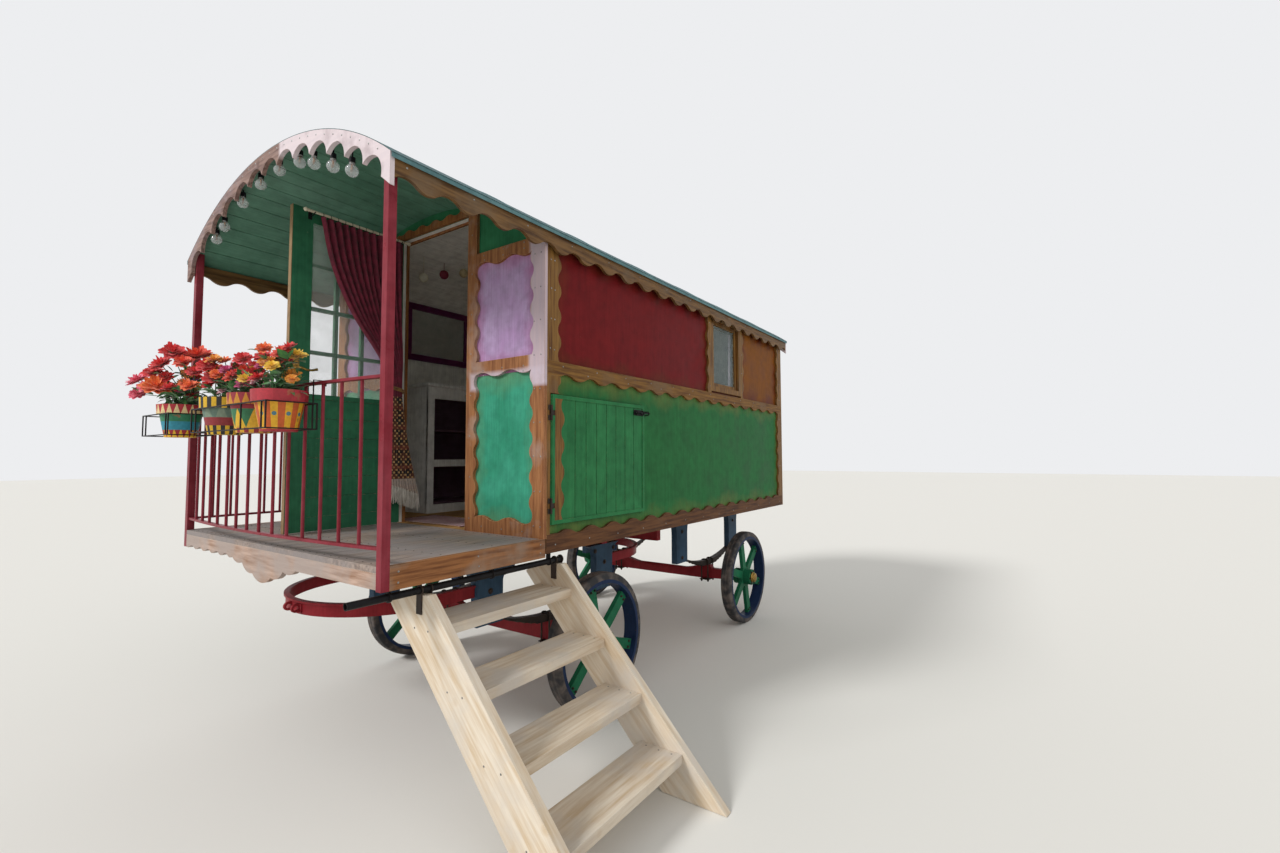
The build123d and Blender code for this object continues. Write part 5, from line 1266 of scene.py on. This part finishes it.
# hand-painted clay pots; zones run from the foot up: top edge as a share of the height, ground, figure,
# figures round the pot, and how far each figure narrows upwards (0 for straight bars, 1 for teeth)
potTable = (
    {"y": -0.690, "zones": ((0.22, "#9E2028", "#E0B020", 17, 0.7), (0.48, "#2A8AA0", "#2A8AA0", 1, 0),
                            (0.712, "#2A7A54", "#2A7A54", 1, 0), (2.0, "#A8202C", "#E0C890", 20, 0.85))},
    {"y": -0.040, "zones": ((0.24, "#D8AC1C", "#201E1E", 14, 0.0), (0.46, "#8E2A2E", "#8E2A2E", 1, 0),
                            (0.712, "#60786A", "#7A8C78", 9, 0.5), (2.0, "#D8AC1C", "#201E1E", 16, 0.0))},
    {"y": 0.314, "zones": ((0.12, "#D8A424", "#8E1E2C", 12, 0.0), (0.60, "#2C7048", "#DEB02A", 8, 1.0),
                           (0.712, "#8E1E2C", "#8E1E2C", 1, 0), (2.0, "#8E1E2C", "#C4841E", 18, 0.9))},
    {"y": 0.578, "zones": ((0.05, "#A02830", "#A02830", 1, 0), (0.712, "#C4581C", "#E0A820", 10, 0.0),
                           (2.0, "#A42430", "#B02C38", 5, 0.0)), "dots": ("#4E7A84", 1)},
)
# dots between the bars of one zone: their level as a share of the height, radius, and how wide a bar is
dotForm = {"level": 0.42, "radius": 0.0095, "barWidth": 0.055}


def paintedClay():
    material, tree, shader, plain = newMaterial("brushed gouache on fired clay")
    x, y, z = addNode(tree, "SeparateXYZ", (plain,)).outputs
    low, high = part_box("flower_pots")
    clay = "#9A5A3C"
    wearMm, streakMm = 55.56, 14.29
    wear = addNode(tree, "TexNoise", {"Vector": plain, "Scale": 1000 / wearMm, "Detail": 3.0})
    level = addNode(tree, "MapRange", (z, low.z, high.z))
    acrossX = addNode(tree, "Math", (x, (low.x + high.x) / 2), operation="SUBTRACT")
    colour = clay
    for pot in potTable:
        dots, dotZone = pot.get("dots", (None, None))
        acrossY = addNode(tree, "Math", (y, pot["y"]), operation="SUBTRACT")
        angle = addNode(tree, "Math", (acrossY, acrossX), operation="ARCTAN2")
        foot, look = 0.0, None
        for number, (top, ground, figure, count, taper) in enumerate(pot["zones"]):
            turns = addNode(tree, "Math", (angle, count / (2 * math.pi)), operation="MULTIPLY")
            saw = addNode(tree, "Math", (turns, 0.5), operation="PINGPONG")
            half = 0.25 * taper
            rise = addNode(tree, "MapRange", (level, foot, min(top, 1.0), 0.25 - half, 0.25 + half))
            inside = addNode(tree, "Math", (saw, rise), operation="GREATER_THAN")
            tone = addNode(tree, "MixRGB", (inside, ground, figure))
            above = addNode(tree, "Math", (level, foot), operation="GREATER_THAN")
            look = addNode(tree, "MixRGB", (above, look, tone)) if look else tone
            if number == dotZone:
                fromBar = addNode(tree, "Math", (0.5, saw), operation="SUBTRACT")
                aside = addNode(tree, "Math", (fromBar, dotForm["barWidth"]), operation="MULTIPLY")
                fromLevel = addNode(tree, "Math", (level, dotForm["level"]), operation="SUBTRACT")
                along = addNode(tree, "Math", (fromLevel, high.z - low.z), operation="MULTIPLY")
                squares = [addNode(tree, "Math", (part, part), operation="MULTIPLY")
                           for part in (aside, along)]
                reach = addNode(tree, "Math", squares, operation="ADD")
                dot = addNode(tree, "Math", (reach, dotForm["radius"] ** 2), operation="LESS_THAN")
                look = addNode(tree, "MixRGB", (dot, look, dots))
            foot = top
        near = addNode(tree, "Math", (y, pot["y"], 0.13), operation="COMPARE")
        colour = addNode(tree, "MixRGB", (near, colour, look))
    streak = addNode(tree, "TexNoise", {"Vector": plain, "Scale": 1000 / streakMm, "Detail": 3.0})
    shade = addNode(tree, "MapRange", (streak, 0.3, 0.7, 0.82, 1.08))
    colour = addNode(tree, "MixRGB", (1.0, colour, shade), blend_type="MULTIPLY")
    bare = addNode(tree, "MapRange", (wear, 0.67, 0.7, 0.0, 0.7))
    fillSockets(tree, shader, {
        "Base Color": addNode(tree, "MixRGB", (bare, colour, clay)), "Roughness": 0.55,
        "Normal": addNode(tree, "Bump", {"Height": streak, "Strength": 0.3, "Distance": 0.001}),
    })
    return material


dress("flower_pots", paintedClay())


# petals and leaves: a thin cupped blade with a soft middle fold
def bladeShape(length, width, cup, tip, steps=4):
    points, faces = [], []
    for k in range(steps + 1):
        t = k / steps
        reach = width * math.sin(math.pi * min(t * tip + 0.08, 1.0)) ** 0.8
        rise = cup * length * t * t
        for s in (-1, 0, 1):
            points.append((length * t, s * reach / 2, rise + abs(s) * reach * 0.16))
    for k in range(steps):
        for s in range(2):
            a = 3 * k + s
            faces.append((a, a + 1, a + 4, a + 3))
    return points, faces


# a full rosette: rings of petals, number, reach as a share of the radius, and how steeply they cup
petalRings = ((11, 1.0, 0.10), (9, 0.8, 0.42), (7, 0.55, 0.9), (5, 0.32, 1.8))


def bloomShape(radius, draw):
    store = ([], [])
    for layer, (count, reach, cup) in enumerate(petalRings):
        for k in range(count):
            angle = 2 * math.pi * (k + 0.5 * (layer % 2)) / count + draw.uniform(-0.15, 0.15)
            size = radius * reach * draw.uniform(0.88, 1.08)
            petal = bladeShape(size, size * 0.72, cup * draw.uniform(0.7, 1.2), 0.86)
            lift = Matrix.Translation((0, 0, radius * 0.06 * layer)) @ Matrix.Rotation(angle, 4, "Z")
            place(store, petal, lift @ Matrix.Rotation(draw.uniform(-0.2, 0.2), 4, "X"))
    return store


# silk petals: saturated dye with paler streaks
def dyedSilk(name, main, pale, rough=0.7, streakMm=15.38):
    material, tree, shader, plain = newMaterial(name)
    veins = addNode(tree, "TexNoise", {"Vector": plain, "Scale": 1000 / streakMm, "Detail": 4.0})
    streaks = addNode(tree, "MapRange", (veins, 0.36, 0.66))
    fillSockets(tree, shader, {
        "Base Color": addNode(tree, "MixRGB", (streaks, main, pale)), "Roughness": rough, "Sheen Weight": 0.3,
        "Normal": addNode(tree, "Bump", {"Height": veins, "Strength": 0.4, "Distance": 0.002}),
    })
    return material


bloomColours = {
    "red": ("#C4141C", "#E84040"),
    "scarlet": ("#D22418", "#F06438"),
    "orange": ("#E2541E", "#F48A48"),
    "pink": ("#D8405E", "#F08AA0"),
    "purple": ("#4A2C84", "#7A5AB0"),
    "magenta": ("#B01C5E", "#DE5A92"),
    "blush": ("#DE9AA8", "#F2CCD2"),
    "yellow": ("#E6B21C", "#F6DA5A"),
    "amber": ("#DE861C", "#F2B04A"),
}
bloomTable = (
    # colour, x, y, z, width across
    ("pink", 0.47, -0.97, 1.306, 0.13), ("pink", 0.47, -0.95, 1.233, 0.10),
    ("orange", 0.445, -0.719, 1.256, 0.165), ("red", 0.430, -0.715, 1.388, 0.132),
    ("red", 0.383, -0.703, 1.466, 0.143), ("red", 0.410, -0.71, 1.318, 0.09),
    ("scarlet", 0.274, -0.671, 1.452, 0.187), ("red", 0.415, -0.066, 1.323, 0.104),
    ("amber", 0.297, -0.678, 1.354, 0.132), ("purple", 0.32, -0.626, 1.268, 0.121),
    ("purple", 0.35, -0.585, 1.24, 0.08), ("red", 0.384, -0.056, 1.256, 0.113),
    ("orange", 0.347, -0.044, 1.354, 0.075), ("red", 0.386, 0.295, 1.328, 0.094),
    ("red", 0.288, -0.023, 1.325, 0.094), ("red", 0.341, 0.312, 1.254, 0.103),
    ("magenta", 0.377, 0.299, 1.205, 0.094), ("magenta", 0.323, 0.319, 1.207, 0.077),
    ("blush", 0.331, -0.039, 1.205, 0.104), ("blush", 0.312, 0.40, 1.20, 0.06),
    ("red", 0.31, 0.324, 1.344, 0.09), ("scarlet", 0.335, 0.578, 1.307, 0.095),
    ("yellow", 0.276, 0.604, 1.323, 0.095), ("amber", 0.297, 0.595, 1.229, 0.095),
    ("yellow", 0.325, 0.25, 1.281, 0.06), ("red", 0.26, 0.13, 1.29, 0.09),
    ("scarlet", 0.38, 0.16, 1.25, 0.09), ("red", 0.35, -0.2, 1.30, 0.095),
    ("purple", 0.27, -0.13, 1.23, 0.08), ("red", 0.30, 0.48, 1.27, 0.08),
    ("scarlet", 0.25, -0.80, 1.34, 0.10), ("yellow", 0.39, 0.62, 1.26, 0.07),
    ("magenta", 0.26, 0.25, 1.21, 0.07), ("red", 0.30, -0.88, 1.24, 0.09), ("pink", 0.25, 0.02, 1.22, 0.08),
    ("red", 0.39, 0.47, 1.215, 0.085), ("scarlet", 0.36, -0.60, 1.40, 0.11),
    ("red", 0.33, -0.52, 1.34, 0.10), ("pink", 0.45, -0.86, 1.27, 0.12), ("red", 0.44, -0.82, 1.35, 0.11),
    ("orange", 0.36, -0.48, 1.25, 0.10), ("scarlet", 0.30, -0.30, 1.33, 0.11),
    ("red", 0.42, -0.60, 1.24, 0.10),
)
fillers = {"perPot": 9, "reach": 0.13, "low": 1.19, "high": 1.36, "small": 0.06, "wide": 0.095}


def addFlowers():
    draw = random.Random(21)
    stores = {name: ([], []) for name in bloomColours}
    hearts, leaves, stems, soil = ([], []), ([], []), ([], []), ([], [])
    potLow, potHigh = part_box("flower_pots")
    centreX = (potLow.x + potHigh.x) / 2
    potYs = [pot["y"] for pot in potTable]
    for y in potYs:
        ground = [(0, 0.018)]
        for k in range(1, 9):
            ground.append((0.092 * k / 8, 0.018 - 0.016 * (k / 8) ** 2 + draw.uniform(-0.003, 0.003)))
        ground.append((0.092, -0.02))
        place(soil, turnedShape(ground, 26), Matrix.Translation((centreX, y, potHigh.z - 0.035)))
    extra = []
    for y in potYs:
        for k in range(fillers["perPot"]):
            colour, x = draw.choice(list(bloomColours)), centreX + draw.uniform(-0.09, 0.07)
            extra.append((colour, x, y + draw.uniform(-1, 1) * fillers["reach"],
                          draw.uniform(fillers["low"], fillers["high"]),
                          draw.uniform(fillers["small"], fillers["wide"])))
    # silk flowers lean out of the pots and over their rims
    for colour, x, y, z, wide in bloomTable + tuple(extra):
        potY = min(potYs, key=lambda p: abs(p - y))
        facing = Vector((0.45 + draw.uniform(-0.3, 0.3), 0.45 + draw.uniform(-0.4, 0.4), 0.75))
        turn = towards((x, y, z), facing, draw.uniform(0, 3))
        place(stores[colour], bloomShape(wide / 2, draw), turn)
        heart = [(0, -0.004), (wide * 0.07, 0), (wide * 0.08, wide * 0.06), (0, wide * 0.11)]
        place(hearts, turnedShape(heart, 8), turn)
        footX = centreX + draw.uniform(-0.05, 0.05)
        foot = Vector((footX, potY + draw.uniform(-0.05, 0.05), potHigh.z - 0.03))
        head = Vector((x, y, z))
        bend = foot.lerp(head, 0.55) + Vector((0, 0, 0.03))
        path = [foot, foot.lerp(bend, 0.6) + Vector((0, 0, 0.02)), bend, head - facing.normalized() * 0.006]
        place(stems, barShape(path, [0.0028, 0.0026, 0.0024, 0.002], 6))
        for k in range(5):
            spot = foot.lerp(head, draw.uniform(0.35, 0.95))
            spot += Vector((draw.uniform(-0.04, 0.02), draw.uniform(-0.05, 0.05), draw.uniform(-0.03, 0.02)))
            size = draw.uniform(0.045, 0.08)
            blade = bladeShape(size, size * 0.5, draw.uniform(-0.5, 0.3), 1.0)
            lean = Matrix.Rotation(draw.uniform(0, 2 * math.pi), 4, "Z")
            lean = lean @ Matrix.Rotation(draw.uniform(-0.9, 0.3), 4, "Y")
            lean = lean @ Matrix.Rotation(draw.uniform(-0.5, 0.5), 4, "X")
            place(leaves, blade, Matrix.Translation(spot) @ lean)
    for y in potYs:
        for k in range(46):
            angle = draw.uniform(0, 2 * math.pi)
            reach = draw.uniform(0.02, 0.095)
            size = draw.uniform(0.05, 0.075) * (1 if math.cos(angle) < 0.2 else 0.6)
            lift = potHigh.z + draw.uniform(-0.02, 0.05)
            spot = (centreX + reach * math.cos(angle) * 0.8, y + reach * math.sin(angle), lift)
            blade = bladeShape(size, size * 0.5, draw.uniform(-0.6, 0.2), 1.0)
            lean = Matrix.Rotation(angle, 4, "Z") @ Matrix.Rotation(draw.uniform(-0.9, 0.1), 4, "Y")
            place(leaves, blade, Matrix.Translation(spot) @ lean)
    for colour, (main, pale) in bloomColours.items():
        silk = dyedSilk("dyed silk petals " + colour, main, pale)
        makePiece("blooms_" + colour, stores[colour], silk, "wagon", 80)
    hearted = dyedSilk("flocked flower hearts", "#5A3A14", "#C89A2A", 0.9)
    makePiece("bloom_hearts", hearts, hearted, "wagon", 60)
    leafCloth = dyedSilk("dyed green leaf cloth", "#1F5A2A", "#4A8A3A")
    makePiece("flower_leaves", leaves, leafCloth, "wagon", 80)
    makePiece("flower_stems", stems, dyedSilk("green wrapped stem wire", "#2A5A2A", "#3F6E34", 0.8), "wagon")
    makePiece("pot_soil", soil, dyedSilk("crumbled peat", "#241A14", "#4A382A", 0.95), "wagon")


addFlowers()
print("pots and flowers")

# camera solved from the straight edges in the photograph, in metres and degrees
cameraPlace = {
    "position": (1.5299, 3.4292, 0.8461),
    "yaw": 214.2998,
    "pitch": 0.0526,
    "roll": -0.0036,
    "focalShare": 557.35 / 1280,
}


def addCamera():
    yaw, pitch, roll = math.radians(cameraPlace["yaw"]), cameraPlace["pitch"], cameraPlace["roll"]
    ahead = Vector((math.cos(yaw) * math.cos(pitch), math.sin(yaw) * math.cos(pitch), math.sin(pitch)))
    level = Vector((math.sin(yaw), -math.cos(yaw), 0))
    upright = level.cross(ahead)
    right = level * math.cos(roll) + upright * math.sin(roll)
    up = upright * math.cos(roll) - level * math.sin(roll)
    data = bpy.data.cameras.new("photo camera")
    data.sensor_width = 36.0
    data.lens = data.sensor_width * cameraPlace["focalShare"]
    data.clip_end = 200.0
    camera = bpy.data.objects.new("photo camera", data)
    turn = Matrix((right, up, -ahead)).transposed().to_4x4()
    camera.matrix_world = Matrix.Translation(Vector(cameraPlace["position"])) @ turn
    bpy.context.scene.collection.objects.link(camera)
    bpy.context.scene.camera = camera


# soft key light from ahead on the right, as the porch is lit, and a faint fill from the left
studio = {
    "worldLight": 0.6,
    "backdrop": "#EDEEF0",
    "floor": "#DEDCD6",
    "suns": (
        # name, power, spread in degrees, direction that it comes from
        ("key sun", 2.1, 14, (0.85, -0.40, 0.70)),
        ("fill sun", 0.5, 40, (0.35, 0.85, 0.60)),
    ),
}


def addStudio():
    world = bpy.data.worlds.new("pale studio")
    bpy.context.scene.world = world
    world.use_nodes = True
    tree = world.node_tree
    tree.nodes.clear()
    path = addNode(tree, "LightPath").outputs
    straight = (path["Is Camera Ray"], path["Is Transmission Ray"])
    clearRay = addNode(tree, "Math", straight, operation="MAXIMUM")
    seen = addNode(tree, "Math", (clearRay, path["Is Glossy Ray"]), operation="MAXIMUM")
    lit = addNode(tree, "Background", {"Color": (1, 1, 1, 1), "Strength": studio["worldLight"]})
    shown = addNode(tree, "Background", {"Color": studio["backdrop"], "Strength": 1.0})
    addNode(tree, "OutputWorld", {"Surface": addNode(tree, "MixShader", (seen, lit, shown))})
    for name, power, spread, source in studio["suns"]:
        lamp = bpy.data.lights.new(name, "SUN")
        lamp.energy, lamp.angle = power, math.radians(spread)
        holder = bpy.data.objects.new(name, lamp)
        holder.rotation_euler = Vector(source).to_track_quat("Z", "Y").to_euler()
        bpy.context.scene.collection.objects.link(holder)
    floorMesh = bpy.data.meshes.new("studio floor")
    reach, ground = 60.0, boxBefore[0][2]
    corners = [(x * reach, y * reach, ground) for x, y in ((-1, -1), (1, -1), (1, 1), (-1, 1))]
    floorMesh.from_pydata(corners, [], [(0, 1, 2, 3)])
    floor = bpy.data.objects.new("studio_floor", floorMesh)
    bpy.context.scene.collection.objects.link(floor)
    material, tree, shader = newMaterial("pale matt floor paint")[:3]
    fillSockets(tree, shader, {"Base Color": studio["floor"], "Roughness": 0.9})
    floorMesh.materials.append(material)
    bpy.context.scene.view_settings.view_transform = "Standard"


addCamera()
addStudio()
print("camera and studio set")
